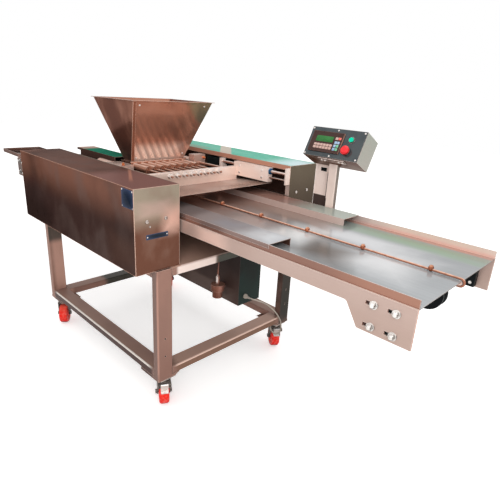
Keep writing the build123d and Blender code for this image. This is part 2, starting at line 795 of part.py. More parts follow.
def rod_seal(z):
    body = rod_x(carriage_front, carriage_front + seal_thick, guide_y, z, seal_diameter / 2)
    return body - rod_x(carriage_front, carriage_front + seal_thick, guide_y, z, guide_upper_d / 2 + free_fit)


save("carriage_blocks", carriage_block(guide_upper_z, guide_lower_z, carriage_under),
     other_side(carriage_block(near_upper_z, near_lower_z, near_carriage_under)))
save("rod_seals", rod_seal(guide_upper_z), other_side(rod_seal(near_upper_z)))

# Guide rods between their brackets, drive cylinders, covers behind the hopper, valve actuator
far_bracket_back = far_casing_end - sheet - end_bracket_long
rear_bracket_front = bar_back - stroke - bracket_clear
bracket_in = casing_in - bracket_wide
drive_block_in = valve_end + drive_block_gap
bracket_top_near = near_upper_z + guide_upper_d / 2 + bracket_over


def ledge_bracket(front, top):
    upright = block(front - bracket_long, front, bracket_in, casing_in, ledge_z, top)
    lap = block(front - bracket_long, front, casing_in, casing_in + bracket_lap, ledge_z, ledge_z + bracket_lap_high)
    return upright + lap


end_bracket = block(far_bracket_back, far_casing_end - sheet, bracket_in, casing_in, end_bracket_low,
                    guide_upper_z + guide_upper_d / 2 + end_bracket_over)
save("rod_brackets", end_bracket, ledge_bracket(rear_bracket_front, guide_upper_z + carriage_over),
     other_side(ledge_bracket(near_bracket_front, bracket_top_near)),
     other_side(ledge_bracket(rear_bracket_front, bracket_top_near)))
guides = []
for far_z, near_z, size in ((guide_upper_z, near_upper_z, guide_upper_d),
                            (guide_lower_z, near_lower_z, guide_lower_d)):
    guides.append(rod_x(rear_bracket_front, far_bracket_back, guide_y, far_z, size / 2))
    guides.append(rod_x(rear_bracket_front, near_bracket_back, -guide_y, near_z, size / 2))
save("guide_rods", *guides)


def drive_cylinder(long, top):
    body = block(-long, 0, drive_block_in, drive_block_out, head_top, top)
    body += rod_x(-drive_barrel_reach, -long, drive_y, cylinder_z, drive_barrel / 2)
    return body - rod_x(barrel_end - drive_barrel_reach, 0, drive_y, cylinder_z, drive_rod / 2 + free_fit)


save("drive_cylinders", drive_cylinder(drive_block_long, manifold_top + drive_block_over),
     other_side(drive_cylinder(near_block_long, manifold_top - near_block_under)))

cover_out = cover_in + cover_wide
cover_top = manifold_top + cover_rise
cover_front = manifold_back - cover_gap
cover_back = -near_casing_half - cover_past
wall_back = cover_back + cover_overhang
cover = block(cover_back, cover_front, cover_in, cover_out, cover_top - sheet, cover_top)
cover += block(wall_back, wall_back + sheet, cover_in, cover_out, head_top, cover_top)
for y in (cover_in, cover_out - sheet):
    cover += block(cover_back, cover_front, y, y + sheet, cover_top - cover_lip, cover_top)
    cover += block(wall_back, cover_front, y, y + sheet, head_top, cover_top)
save("drive_covers", cover, other_side(cover))

actuator = block(actuator_back, actuator_front, casing_in + sheet, casing_in + actuator_deep, head_top, actuator_top)
save("valve_actuator", actuator)

# Operator panel: post, tilted box, face, terminal and two buttons
tilt = Plane(origin=(panel_mid_x, panel_low_y, panel_low_z), x_dir=(1, 0, 0),
             z_dir=(0, -cos(radians(panel_tilt)), sin(radians(panel_tilt))))


def on_panel(a0, a1, b0, b1, c0, c1):
    return tilt * block(a0, a1, b0, b1, c0, c1)


half_long = panel_length / 2
back = -panel_deep
shell = on_panel(-half_long, half_long, 0, panel_high, back, -panel_face_thick)
hollow = on_panel(-half_long + sheet, half_long - sheet, sheet, panel_high - sheet, back + sheet, -panel_face_thick)
save("panel_box", shell - hollow)

mid_b = panel_high / 2
face = on_panel(-half_long, half_long, 0, panel_high, -panel_face_thick, 0)
for a, b, size in ((start_a, start_b, start_diameter), (stop_a, stop_b, start_diameter)):
    spot = tilt * Pos(a, mid_b + b, collar_high / 2)
    face += spot * Cylinder(size / 2 + collar_ring, collar_high)
    face -= tilt * Pos(a, mid_b + b, 0) * Cylinder(size / 2 + free_fit, 4 * collar_high)
save("panel_face", face)

screen = on_panel(terminal_a - terminal_long / 2, terminal_a + terminal_long / 2,
                  mid_b + terminal_b - terminal_high / 2, mid_b + terminal_b + terminal_high / 2, 0, terminal_thick)
save("terminal", screen)

start_top = collar_high + button_room
start = tilt * Pos(start_a, mid_b + start_b, (start_top - stem_deep) / 2)
save("start_button", start * Cylinder(start_diameter / 2, start_top + stem_deep))
stop_neck = collar_high + button_room
stop_spot = tilt * Pos(stop_a, mid_b + stop_b, 0)
neck = stop_spot * Pos(0, 0, (stop_neck - stem_deep) / 2) * Cylinder(start_diameter / 2, stop_neck + stem_deep)
cap = stop_spot * Pos(0, 0, stop_neck + 5) * Cylinder(stop_diameter / 2, 10)
dome = stop_spot * Pos(0, 0, stop_neck + 13) * Cone(stop_diameter / 2, stop_diameter / 2 - 7, 6)
save("stop_button", neck + cap + dome)

post_y = table_half + post_flange
post_x = panel_mid_x - post_offset
post_plane = Plane(origin=(post_x, post_y + post_deep / 2, post_low), x_dir=(1, 0, 0), z_dir=(0, 0, 1))
post = box_tube(post_plane, post_wide, post_deep, panel_low_z - post_low)
post += block(post_x - post_foot / 2, post_x + post_foot / 2, table_half, post_y, post_low, table_z)
post_cut = on_panel(-half_long, half_long, 0, 2 * panel_high, 2 * back, 0)
save("panel_post", post - post_cut)

duct_x0 = panel_mid_x - duct_offset
duct_x1 = duct_x0 + duct_wide
duct_y0 = table_half + duct_behind
duct_y1 = duct_y0 + duct_deep
duct = block(duct_x0, duct_x1, duct_y0, duct_y1, duct_low, panel_low_z)
duct -= block(duct_x0 + sheet, duct_x1 - sheet, duct_y0 + sheet, duct_y1, duct_low, panel_low_z)
duct -= block(duct_x0 + duct_slot_inset, duct_x1 - duct_slot_inset, duct_y0, duct_y0 + sheet,
              duct_slot_low, duct_slot_high)
duct += block(duct_x0, duct_x1, duct_y0, duct_y1, junction_low, duct_low)
duct += block(duct_x0, duct_x1, table_half, duct_y1, junction_low, junction_top)
save("cable_duct", duct - on_panel(-half_long, half_long, 0, 2 * panel_high, back, 0))

# Control cabinet, its supply cable and the air filter with hose
cabinet_x0 = middle_beam_x - tube_wide / 2
cabinet_x1 = base_length / 2 - cabinet_inset
body = block(cabinet_x0, cabinet_x1, cabinet_y0, cabinet_y1, cabinet_low, under_top_rail)
body -= block(cabinet_x0 + sheet, cabinet_x1 - sheet, cabinet_y0 + sheet, cabinet_y1 - sheet,
              cabinet_low + sheet, under_top_rail - sheet)
save("cabinet", body)

filter_x = cabinet_x1 - filter_back
filter_y = cabinet_y0 - filter_gap - filter_cap_radius
filter_body = rod_z(filter_cap_low, filter_cap_top, filter_x, filter_y, filter_cap_radius)
filter_body += rod_z(filter_bowl_low, filter_cap_low, filter_x, filter_y, filter_bowl_radius)
filter_body += rod_z(filter_cap_top, stem_top, filter_x, filter_y, hose_diameter)
filter_body += rod_z(stem_top, frame_top, filter_x, filter_y, hose_diameter / 2)
filter_body += block(filter_x - 10, filter_x + 10, filter_y, cabinet_y0, filter_cap_low + 6, filter_cap_top - 6)
save("air_filter", filter_body)

cable_start = (cabinet_x1, gland_y, gland_z)
rail_x = base_length / 2
cable_end = (rail_x - cable_inset, cable_end_y, frame_low)
hang = [(5, 119, 424), (37, 154, 412), (51, 208, 378), (58, 260, 328), (60, 303, 273), (56, 334, 222), (45, 348, 150),
        (16, 335, 131.7)]
cable_route = [cable_start, *[(rail_x + u, y, z) for u, y, z in hang],
               (rail_x - cable_inset, cable_end_y, frame_low - cable_rise), cable_end]


def bend_radii(points):
    radii = []
    for p, q, r in zip(points, points[1:], points[2:]):
        a = Vector(*q) - Vector(*p)
        b = Vector(*r) - Vector(*q)
        half_turn = acos(max(-1.0, min(1.0, a.dot(b) / (a.length * b.length)))) / 2
        radii.append(0.45 * min(a.length, b.length) * cos(half_turn) / sin(half_turn))
    return radii


cable_radii = bend_radii(cable_route)
print("cable radii", [round(r, 1) for r in cable_radii])
cable_path = FilletPolyline(*cable_route, radius=cable_radii)
cable_ring = Plane(origin=cable_path @ 0, z_dir=cable_path % 0) * Circle(cable_diameter / 2)
cable = sweep(cable_ring, path=cable_path)
save("supply_cable", cable)
print("cable length", round(cable_path.length), "volume", round(cable.volume),
      "wanted", round(pi * cable_diameter ** 2 / 4 * cable_path.length))
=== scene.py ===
import math
import bmesh
import bpy
from mathutils import Matrix, Vector


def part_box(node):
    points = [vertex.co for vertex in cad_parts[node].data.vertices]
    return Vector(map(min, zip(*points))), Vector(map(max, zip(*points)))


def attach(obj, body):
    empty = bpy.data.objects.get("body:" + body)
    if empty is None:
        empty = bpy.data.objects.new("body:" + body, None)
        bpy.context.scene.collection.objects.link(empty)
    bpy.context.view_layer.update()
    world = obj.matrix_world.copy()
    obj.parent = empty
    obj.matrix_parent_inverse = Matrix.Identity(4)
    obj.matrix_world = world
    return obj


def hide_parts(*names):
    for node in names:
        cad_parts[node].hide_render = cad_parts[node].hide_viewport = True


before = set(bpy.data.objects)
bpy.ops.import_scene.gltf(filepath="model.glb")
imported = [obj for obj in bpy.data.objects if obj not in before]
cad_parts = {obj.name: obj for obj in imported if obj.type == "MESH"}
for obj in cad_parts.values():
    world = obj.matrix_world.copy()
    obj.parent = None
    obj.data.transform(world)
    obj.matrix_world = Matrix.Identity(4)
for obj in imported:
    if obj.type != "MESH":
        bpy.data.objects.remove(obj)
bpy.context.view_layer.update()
print("frame loaded")

# Camera as solved from the photo
camera = {"place": (2.0319, -1.4246, 1.4594), "yaw": 43.54, "pitch": -19.82, "roll": 3.41, "lens": 31.73,
          "sensor": 36, "far": 60}


def makeCamera(spec):
    yaw, pitch, roll = (math.radians(spec[k]) for k in ("yaw", "pitch", "roll"))
    ahead = Vector((-math.sin(yaw) * math.cos(pitch), math.cos(yaw) * math.cos(pitch), math.sin(pitch)))
    right = Vector((math.cos(yaw), math.sin(yaw), 0))
    above = right.cross(ahead)
    turnedRight = right * math.cos(roll) + above * math.sin(roll)
    turnedAbove = above * math.cos(roll) - right * math.sin(roll)
    data = bpy.data.cameras.new("photoCamera")
    data.lens = spec["lens"]
    data.sensor_width = spec["sensor"]
    data.clip_end = spec["far"]
    cam = bpy.data.objects.new("photoCamera", data)
    bpy.context.scene.collection.objects.link(cam)
    axes = Matrix((turnedRight, turnedAbove, -ahead)).transposed().to_4x4()
    cam.matrix_world = Matrix.Translation(spec["place"]) @ axes
    bpy.context.scene.camera = cam


makeCamera(camera)
print("camera placed")

# Supply cable: out of the cabinet gland, over the end rail, round and up into the rail
supplyCable = {
    "diameter": 0.0075, "length": 0.526, "order": 3, "smooth": 12, "sides": 5,
    "route": [(0.548, 0.119, 0.424), (0.590, 0.119, 0.424), (0.622, 0.154, 0.412), (0.636, 0.208, 0.378),
              (0.643, 0.260, 0.328), (0.645, 0.303, 0.273), (0.641, 0.334, 0.222), (0.630, 0.348, 0.150),
              (0.601, 0.335, 0.1317), (0.572, 0.322, 0.150), (0.572, 0.322, 0.183)],
}


def makeCable(spec):
    data = bpy.data.curves.new("supplyCable", "CURVE")
    data.dimensions = "3D"
    spline = data.splines.new("NURBS")
    spline.points.add(len(spec["route"]) - 1)
    for point, place in zip(spline.points, spec["route"]):
        point.co = (*place, 1)
        point.radius = spec["diameter"] / 2
    spline.order_u = spec["order"]
    spline.use_endpoint_u = True
    spline.resolution_u = spec["smooth"]
    data.bevel_depth = 1.0
    data.bevel_resolution = spec["sides"]
    data.use_fill_caps = True
    cable = bpy.data.objects.new("supplyCable", data)
    bpy.context.scene.collection.objects.link(cable)
    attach(cable, "machine")
    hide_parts("supply_cable")
    return cable


cable = makeCable(supplyCable)
print("cable laid")


# Linear values of a colour written as six hex digits
def linear(text):
    parts = [int(text[i:i + 2], 16) / 255 for i in (1, 3, 5)]
    return [p / 12.92 if p <= 0.04045 else ((p + 0.055) / 1.055) ** 2.4 for p in parts] + [1.0]


# Short ways to set up shader nodes: a socket, a node, a sum, a soft step, a blend, noise and a group
def feed(tree, socket, value):
    if isinstance(value, bpy.types.NodeSocket):
        tree.links.new(value, socket)
    else:
        socket.default_value = value


def put(tree, kind, inputs=None, **settings):
    node = tree.nodes.new("ShaderNode" + kind)
    for key, value in settings.items():
        setattr(node, key, value)
    for key, value in (inputs or {}).items():
        feed(tree, node.inputs[key], value)
    return node


def calc(tree, operation, *values):
    return put(tree, "Math", dict(enumerate(values)), operation=operation).outputs[0]


def step(tree, value, low, high):
    sockets = {"Value": value, "From Min": low, "From Max": high}
    return put(tree, "MapRange", sockets, interpolation_type="SMOOTHSTEP").outputs["Result"]


def blendColor(tree, factor, first, second):
    return put(tree, "Mix", {0: factor, 6: first, 7: second}, data_type="RGBA").outputs[2]


def noiseOver(tree, scale, detail, rough):
    coords = put(tree, "TexCoord")
    scaled = put(tree, "VectorMath", {0: coords.outputs["Object"], 1: scale}, operation="MULTIPLY")
    sockets = {"Vector": scaled.outputs[0], "Scale": 1.0, "Detail": detail, "Roughness": rough}
    return put(tree, "TexNoise", sockets).outputs[0]


def newGroup(name, inputs, outputs):
    group = bpy.data.node_groups.new(name, "ShaderNodeTree")
    for label, kind, value in inputs:
        socket = group.interface.new_socket(name=label, in_out="INPUT", socket_type="NodeSocket" + kind)
        socket.default_value = value
    for label, kind in outputs:
        group.interface.new_socket(name=label, in_out="OUTPUT", socket_type="NodeSocket" + kind)
    return group, group.nodes.new("NodeGroupInput").outputs, group.nodes.new("NodeGroupOutput").inputs


white = (1, 1, 1, 1)
toneNames = ("top", "frontHigh", "frontLow", "endHigh", "endLow", "under")


# Painted light and shade: colour by the way a face looks and by height on it, standing for how light falls
# on tops, sides and undersides
def makePaintedFacingShade():
    frontBand, underBand = (-0.35, -0.75), (-0.4, -0.8)
    inputs = [(name, "Color", white) for name in toneNames]
    inputs += [("zLow", "Float", 0.0), ("zHigh", "Float", 1.0)]
    inputs += [("topFrom", "Float", 0.4), ("topFull", "Float", 0.8)]
    tree, given, out = newGroup("paintedFacingShade", inputs, [("color", "Color")])
    coords = put(tree, "TexCoord")
    normal = put(tree, "SeparateXYZ", {0: coords.outputs["Normal"]})
    spot = put(tree, "SeparateXYZ", {0: coords.outputs["Object"]})
    rise = step(tree, spot.outputs["Z"], given["zLow"], given["zHigh"])
    frontTone = blendColor(tree, rise, given["frontLow"], given["frontHigh"])
    endTone = blendColor(tree, rise, given["endLow"], given["endHigh"])
    color = blendColor(tree, step(tree, normal.outputs["Y"], *frontBand), endTone, frontTone)
    upward = step(tree, normal.outputs["Z"], given["topFrom"], given["topFull"])
    color = blendColor(tree, upward, color, given["top"])
    color = blendColor(tree, step(tree, normal.outputs["Z"], *underBand), color, given["under"])
    feed(tree, out["color"], color)
    return tree


# Soft-edged area of another colour on the faces that look one way, for painted reflections, highlights and
# cast shadows
def makePaintedLightPatch():
    facingBand = (0.45, 0.7)
    inputs = [("color", "Color", white), ("paint", "Color", white), ("middle", "Vector", (0, 0, 0)),
              ("reach", "Vector", (1, 1, 1)), ("facing", "Vector", (0, 0, 1)), ("amount", "Float", 1.0),
              ("soft", "Float", 0.5), ("ragged", "Float", 0.2), ("turn", "Float", 0.0)]
    tree, given, out = newGroup("paintedLightPatch", inputs, [("color", "Color")])
    coords = put(tree, "TexCoord")
    away = put(tree, "VectorMath", {0: coords.outputs["Object"], 1: given["middle"]}, operation="SUBTRACT")
    offset = {"Vector": away.outputs[0], "Angle": given["turn"]}
    spun = put(tree, "VectorRotate", offset, rotation_type="Z_AXIS")
    share = put(tree, "VectorMath", {0: spun.outputs[0], 1: given["reach"]}, operation="DIVIDE")
    size = put(tree, "VectorMath", {0: share.outputs[0]}, operation="ABSOLUTE")
    axes = put(tree, "SeparateXYZ", {0: size.outputs[0]})
    wide = calc(tree, "MAXIMUM", axes.outputs["X"], axes.outputs["Y"])
    far = calc(tree, "MAXIMUM", wide, axes.outputs["Z"])
    noise = put(tree, "TexNoise", {"Vector": coords.outputs["Object"], "Scale": 22.0, "Detail": 3.0})
    wander = calc(tree, "MULTIPLY", calc(tree, "SUBTRACT", noise.outputs[0], 0.5), given["ragged"])
    inner = calc(tree, "SUBTRACT", 1.0, given["soft"])
    inside = step(tree, calc(tree, "ADD", far, wander), 1.0, inner)
    ways = {0: coords.outputs["Normal"], 1: given["facing"]}
    turned = put(tree, "VectorMath", ways, operation="DOT_PRODUCT")
    shown = step(tree, turned.outputs["Value"], *facingBand)
    mask = calc(tree, "MULTIPLY", calc(tree, "MULTIPLY", inside, shown), given["amount"])
    feed(tree, out["color"], blendColor(tree, mask, given["color"], given["paint"]))
    return tree


# Uneven tone: large soft clouds of a second colour
def makeMottle():
    cloudBand = (0.42, 0.68)
    inputs = [("color", "Color", white), ("second", "Color", white), ("scale", "Vector", (3, 3, 3)),
              ("amount", "Float", 0.4)]
    tree, given, out = newGroup("mottle", inputs, [("color", "Color")])
    noise = noiseOver(tree, given["scale"], detail=3.0, rough=0.55)
    mask = calc(tree, "MULTIPLY", step(tree, noise, *cloudBand), given["amount"])
    feed(tree, out["color"], blendColor(tree, mask, given["color"], given["second"]))
    return tree


# Painted highlight: a bright line where two faces meet, as an edge catching the light
def makeEdgeHighlight():
    bendBand = (0.995, 0.86)
    inputs = [("color", "Color", white), ("line", "Color", white), ("radius", "Float", 0.003),
              ("amount", "Float", 0.5)]
    tree, given, out = newGroup("edgeHighlight", inputs, [("color", "Color")])
    flat = put(tree, "NewGeometry").outputs["True Normal"]
    bent = put(tree, "Bevel", {"Radius": given["radius"]}, samples=6).outputs[0]
    same = put(tree, "VectorMath", {0: flat, 1: bent}, operation="DOT_PRODUCT").outputs["Value"]
    mask = calc(tree, "MULTIPLY", step(tree, same, *bendBand), given["amount"])
    feed(tree, out["color"], blendColor(tree, mask, given["color"], given["line"]))
    return tree


# Fine lines of brushing or moulding, for colour, roughness and relief
def makeGrain():
    inputs = [("color", "Color", white), ("stretch", "Vector", (1, 1, 1)), ("amount", "Float", 0.1),
              ("rough", "Float", 0.3), ("spread", "Float", 0.1)]
    outputs = [("color", "Color"), ("height", "Float"), ("rough", "Float")]
    tree, given, out = newGroup("grain", inputs, outputs)
    noise = noiseOver(tree, given["stretch"], detail=4.0, rough=0.6)
    swing = calc(tree, "SUBTRACT", noise, 0.5)
    gain = calc(tree, "MULTIPLY_ADD", swing, given["amount"], 1.0)
    shade = put(tree, "VectorMath", {0: given["color"], "Scale": gain}, operation="SCALE")
    feed(tree, out["color"], shade.outputs[0])
    feed(tree, out["height"], noise)
    feed(tree, out["rough"], calc(tree, "MULTIPLY_ADD", swing, given["spread"], given["rough"]))
    return tree


groups = {"paintedFacingShade": makePaintedFacingShade(), "paintedLightPatch": makePaintedLightPatch(), "mottle": makeMottle(),
          "edgeHighlight": makeEdgeHighlight(), "grain": makeGrain()}
print("shader groups made")

# Ways that faces look, and how far the grain is stretched
front, end, up = (0, -1, 0), (1, 0, 0), (0, 0, 1)
brushX, fine = (6, 700, 700), (900, 900, 900)


# Soft area of another colour as painted light and shade: the way its faces look, its middle, half its size
# and how strong it is
def area(paint, facing, middle, reach, amount, **edges):
    return dict(paint=paint, facing=facing, middle=middle, reach=reach, amount=amount, **edges)


# Looks: painted light and shade as tones by facing and height z; edge is the painted highlight line's
# colour, width, amount; mottle is colour, scale, amount; the soft areas are painted reflections, highlights
# and shadows
looks = {
    # Near casing, painted light and shade: darker lower front, dark lower-left and lighter lower-right
    # areas on the front, painted hopper reflections, a bright painted streak and a thin greenish painted
    # reflection along the inner edge on the top, painted edge highlight
    "casing": dict(
        top="#76544a", frontHigh="#7d594d", frontLow="#423431", endHigh="#a39a8a", endLow="#7d5644",
        under="#241c1a", z=(0.88, 1.07), rough=0.3, metal=0.45, shine=0.0, amount=0.06,
        edge=("#d8ad9a", 0.004, 0.9),
        mottle=[("#6a5d5a", (7, 7, 4.5), 0.35), ("#2a2120", (3, 3, 2.6), 0.45)],
        paintedLightPatches=[area("#2b201d", front, (-0.35, -0.552, 0.76), (0.45, 0.05, 0.14), 0.5, soft=0.9),
                 area("#5a453e", front, (0.5, -0.552, 0.8), (0.22, 0.05, 0.12), 0.5, soft=0.9),
                 area("#6a4e45", up, (-0.33, -0.4, 1.084), (0.16, 0.12, 0.1), 0.6),
                 area("#97706a", up, (0.44, -0.44, 1.084), (0.3, 0.2, 0.1), 0.8),
                 area("#cf937e", up, (0.306, -0.403, 1.084), (0.2, 0.011, 0.1), 0.8, soft=0.8, turn=0.518),
                 area("#7f9488", up, (0.1, -0.338, 1.084), (0.7, 0.004, 0.1), 0.5)]),
    # End cover, painted light and shade: olive top face fading to a darker brown low on the end face,
    # painted highlight bands across it, painted edge highlight
    "endCover": dict(
        top="#d8b9a9", frontHigh="#c9a898", frontLow="#8a6458", endHigh="#a79b89", endLow="#6b4739",
        under="#241c1a", z=(0.89, 1.0), rough=0.3, metal=0.3, amount=0.05,
        edge=("#e8c6b5", 0.004, 0.9), mottle=[("#8f7264", (9, 9, 7), 0.3)],
        paintedLightPatches=[area("#e6bcab", end, (0.575, -0.36, 0.945), (0.05, 0.09, 0.09), 1.0, soft=0.9),
                 area("#c9ada2", end, (0.575, -0.46, 0.995), (0.05, 0.12, 0.05), 0.7, soft=0.9)]),
    # Far casing, painted light and shade: painted reflections on the teal top, pale towards the outfeed
    # end, a diagonal painted reflection band, painted shade on up-facing faces below the top
    "farCasing": dict(
        top="#43b294", frontHigh="#c08d78", frontLow="#6a4c42", endHigh="#5c5547", endLow="#645d4e",
        under="#241c1a", z=(1.055, 1.075), rough=0.3, metal=0.05, shine=0.01, stretch=brushX,
        amount=0.05, edge=("#dfc0b1", 0.003, 0.7),
        paintedLightPatches=[area("#74c6b2", up, (0.0, 0.44, 1.112), (0.6, 0.12, 0.1), 0.45, soft=0.9, ragged=1.5),
                 area("#d3eaef", up, (0.62, 0.44, 1.112), (0.28, 0.2, 0.1), 1.0, soft=0.9),
                 area("#dcbdb1", up, (0.001, 0.4435, 1.112), (0.3, 0.039, 0.1), 0.75, soft=0.3, ragged=0.0,
                      turn=0.747),
                 area("#85957f", up, (-0.25, 0.36, 1.112), (0.2, 0.07, 0.1), 0.7),
                 area("#3a2a26", up, (0.0, 0.44, 0.95), (1.2, 0.3, 0.1), 1.0, soft=0.1, ragged=0.0)]),
    # Far end plate, painted light and shade: light front faces and dark end faces, painted edge highlight
    "farEnd": dict(
        top="#b9a294", frontHigh="#f3e6df", frontLow="#e0ccc2", endHigh="#6a5f51", endLow="#51463c",
        under="#241c1a", z=(0.9, 1.1), rough=0.26, metal=0.5, amount=0.07,
        edge=("#ecd2c5", 0.004, 0.85), mottle=[("#746e5c", (7, 7, 3.5), 0.45)]),
    # Drive covers: a dark painted reflection cloud and a pale painted highlight on the top
    "cover": dict(
        top="#2f7d66", frontHigh="#4f3a34", frontLow="#3b2a26", endHigh="#8a7068", endLow="#57463f",
        under="#241c1a", z=(1.0, 1.08), rough=0.5, shine=0.0, stretch=brushX,
        amount=0.12, edge=("#a98d82", 0.003, 0.5),
        paintedLightPatches=[area("#1f5a4c", up, (-0.38, 0.0, 1.085), (0.25, 0.3, 0.1), 0.5, soft=0.9, ragged=1.5),
                 area("#b59a90", up, (-0.596, -0.16, 1.085), (0.11, 0.2, 0.1), 0.95)]),
    # Frame, painted light and shade: lit and shadowed stretches of the upper end rail, painted shadows on
    # the infeed leg and lower rails, a painted pool of light on the bed sheet, painted shade on the back
    # and near legs, painted highlights along rail and leg edges
    "frame": dict(
        top="#a5867a", frontHigh="#a07c6f", frontLow="#9a766a", endHigh="#a07b6e", endLow="#8f6c60",
        under="#2d2623", z=(0.2, 0.5), rough=0.38, metal=0.2, amount=0.1,
        edge=("#dcc0b4", 0.004, 0.6), mottle=[("#866a60", (3, 3, 3), 0.4)],
        paintedLightPatches=[area("#f7e4db", end, (0.585, -0.24, 0.704), (0.05, 0.122, 0.06), 0.95, soft=0.15,
                      ragged=0.0),
                 area("#27443f", end, (0.585, 0.02, 0.704), (0.05, 0.16, 0.06), 0.8, soft=0.2, ragged=0.0),
                 area("#c99e8e", end, (-0.53, -0.4, 0.4), (0.06, 0.06, 0.3), 0.8),
                 area("#2c3a37", end, (-0.53, -0.4, 0.65), (0.06, 0.1, 0.13), 0.8, soft=0.35, ragged=0.0),
                 area("#1d3633", end, (-0.55, 0.12, 0.2), (0.06, 0.27, 0.06), 0.8, soft=0.15, ragged=0.0),
                 area("#1d3633", up, (-0.55, 0.12, 0.2), (0.06, 0.27, 0.06), 0.8, soft=0.15, ragged=0.0),
                 area("#3c2c29", front, (0.0, -0.44, 0.2), (0.55, 0.03, 0.03), 0.9, soft=0.05, ragged=0.0),
                 area("#e8bda9", up, (0.4, -0.2, 0.724), (0.3, 0.25, 0.06), 0.9),
                 area("#80614f", end, (0.585, 0.0, 0.2), (0.03, 0.37, 0.03), 0.8, soft=0.1),
                 area("#cba898", up, (0.565, 0.0, 0.223), (0.06, 0.37, 0.03), 0.7, soft=0.1),
                 area("#1c2825", end, (0.565, 0.42, 0.45), (0.06, 0.06, 0.4), 0.9),
                 area("#2a2322", front, (0.565, 0.42, 0.45), (0.06, 0.06, 0.4), 0.9),
                 area("#766059", front, (0.565, -0.46, 0.45), (0.03, 0.02, 0.35), 0.85, soft=0.1,
                      ragged=0.0),
                 area("#b98e80", (0.7, -0.7, 0), (0.583, -0.458, 0.45), (0.005, 0.005, 0.3), 0.7, soft=0.3,
                      ragged=0.0),
                 area("#e6ded6", (0, -0.7, 0.7), (0.0, -0.458, 0.221), (0.545, 0.005, 0.005), 0.95,
                      soft=0.1, ragged=0.0),
                 area("#ecccbc", (0.7, 0, 0.7), (0.583, 0.0, 0.221), (0.005, 0.378, 0.005), 0.9, soft=0.1,
                      ragged=0.0)]),
    # Side plates: a painted highlight on the outfeed front and painted shade on the infeed front
    "side": dict(
        top="#f0dcd2", frontHigh="#baa49b", frontLow="#b19b91", endHigh="#d8ab98", endLow="#c2917e",
        under="#6b564f", z=(0.8, 0.93), rough=0.36, metal=0.3, stretch=brushX, amount=0.1,
        edge=("#efdcd3", 0.003, 0.6), mottle=[("#a98d83", (2, 4, 6), 0.4)],
        paintedLightPatches=[area("#efccbe", front, (0.76, -0.321, 0.9), (0.14, 0.03, 0.06), 0.8, soft=0.9),
                 area("#574743", front, (-1.5, -0.32, 0.88), (0.4, 0.1, 0.2), 0.85)]),
    # Post and duct: dark end faces and two dark areas on the front are painted shade
    "post": dict(
        top="#f6ebe5", frontHigh="#fff1ea", frontLow="#fbe8de", endHigh="#3c4a46", endLow="#5b4f4a",
        under="#6b564f", z=(0.9, 1.16), rough=0.3, metal=0.1, amount=0.06,
        edge=("#fff4ee", 0.003, 0.6), mottle=[("#d9c2b7", (6, 6, 3), 0.4)],
        paintedLightPatches=[area("#33211d", front, (0.789, 0.36, 0.93), (0.06, 0.06, 0.066), 0.95, soft=0.05,
                      ragged=0.0),
                 area("#33433f", front, (0.832, 0.372, 1.05), (0.022, 0.02, 0.065), 0.9, soft=0.3,
                      ragged=0.0)]),
    # Table, painted reflections: white highlights, warm tones and darker patches on the top, a green and a
    # pink band along the far side, painted reflections on the near lip
    "table": dict(
        top="#b6babd", frontHigh="#ffe2d7", frontLow="#f6d3c6", endHigh="#3b2a26", endLow="#3b2a26",
        under="#2b2422", z=(0.927, 0.945), rough=0.16, metal=0.45, stretch=brushX, amount=0.05,
        edge=("#f6ece8", 0.003, 0.5),
        mottle=[("#c6cacd", (1.2, 5, 5), 0.4), ("#8e9498", (2.5, 70, 5), 0.12)],
        paintedLightPatches=[area("#f2f3f5", up, (1.38, -0.06, 0.927), (0.2, 0.2, 0.05), 0.85, soft=0.95),
                 area("#f0f2f5", up, (1.17, 0.09, 0.927), (0.38, 0.12, 0.05), 0.85, soft=0.9),
                 area("#a9c1a8", up, (1.35, 0.225, 0.927), (0.5, 0.08, 0.05), 0.9, soft=0.9),
                 area("#dcae9c", up, (1.1, 0.305, 0.927), (0.8, 0.03, 0.05), 0.8),
                 area("#82776f", up, (1.18, -0.14, 0.927), (0.16, 0.13, 0.05), 0.8, soft=0.95),
                 area("#bda79f", up, (0.5, 0.0, 0.927), (0.5, 0.4, 0.05), 0.8),
                 area("#b39a8e", up, (0.76, 0.16, 0.927), (0.34, 0.1, 0.05), 0.7),
                 area("#b08474", up, (0.0, 0.0, 0.927), (0.75, 0.4, 0.05), 0.9),
                 area("#ffffff", up, (0.985, -0.05, 0.927), (0.14, 0.16, 0.05), 0.9, soft=0.95),
                 area("#805d51", front, (0.3, -0.318, 0.94), (3.0, 0.02, 0.03), 0.95, soft=0.1),
                 area("#a07767", front, (1.6, -0.318, 0.94), (0.35, 0.02, 0.03), 0.9, soft=0.7),
                 area("#b58f80", (0, 1, 0), (0.0, -0.31, 0.94), (3.0, 0.05, 0.05), 0.95, soft=0.1)]),
    # Guides, painted reflections: mauve to silver on the tops with a bright painted highlight, copper on
    # the far guide, a painted highlight on the far guide's front
    "guide": dict(
        top="#a9adb3", frontHigh="#74544a", frontLow="#604238", endHigh="#b08878", endLow="#6a4a40",
        under="#2b2422", z=(0.93, 0.957), rough=0.18, metal=0.4, stretch=brushX, amount=0.05,
        edge=("#f6ece8", 0.003, 0.55), mottle=[("#b5adab", (1.2, 5, 5), 0.25)],
        paintedLightPatches=[area("#eef2f6", up, (1.0, -0.25, 0.957), (0.14, 0.12, 0.05), 0.85, soft=0.9),
                 area("#8a7671", up, (0.2, -0.26, 0.957), (0.95, 0.2, 0.05), 0.85),
                 area("#8f8f98", up, (0.8, -0.27, 0.957), (0.1, 0.06, 0.05), 0.5, soft=0.9),
                 area("#ccd4c8", up, (0.95, 0.26, 0.957), (0.3, 0.2, 0.05), 0.8),
                 area("#bb8672", up, (0.3, 0.26, 0.957), (0.6, 0.2, 0.05), 0.85),
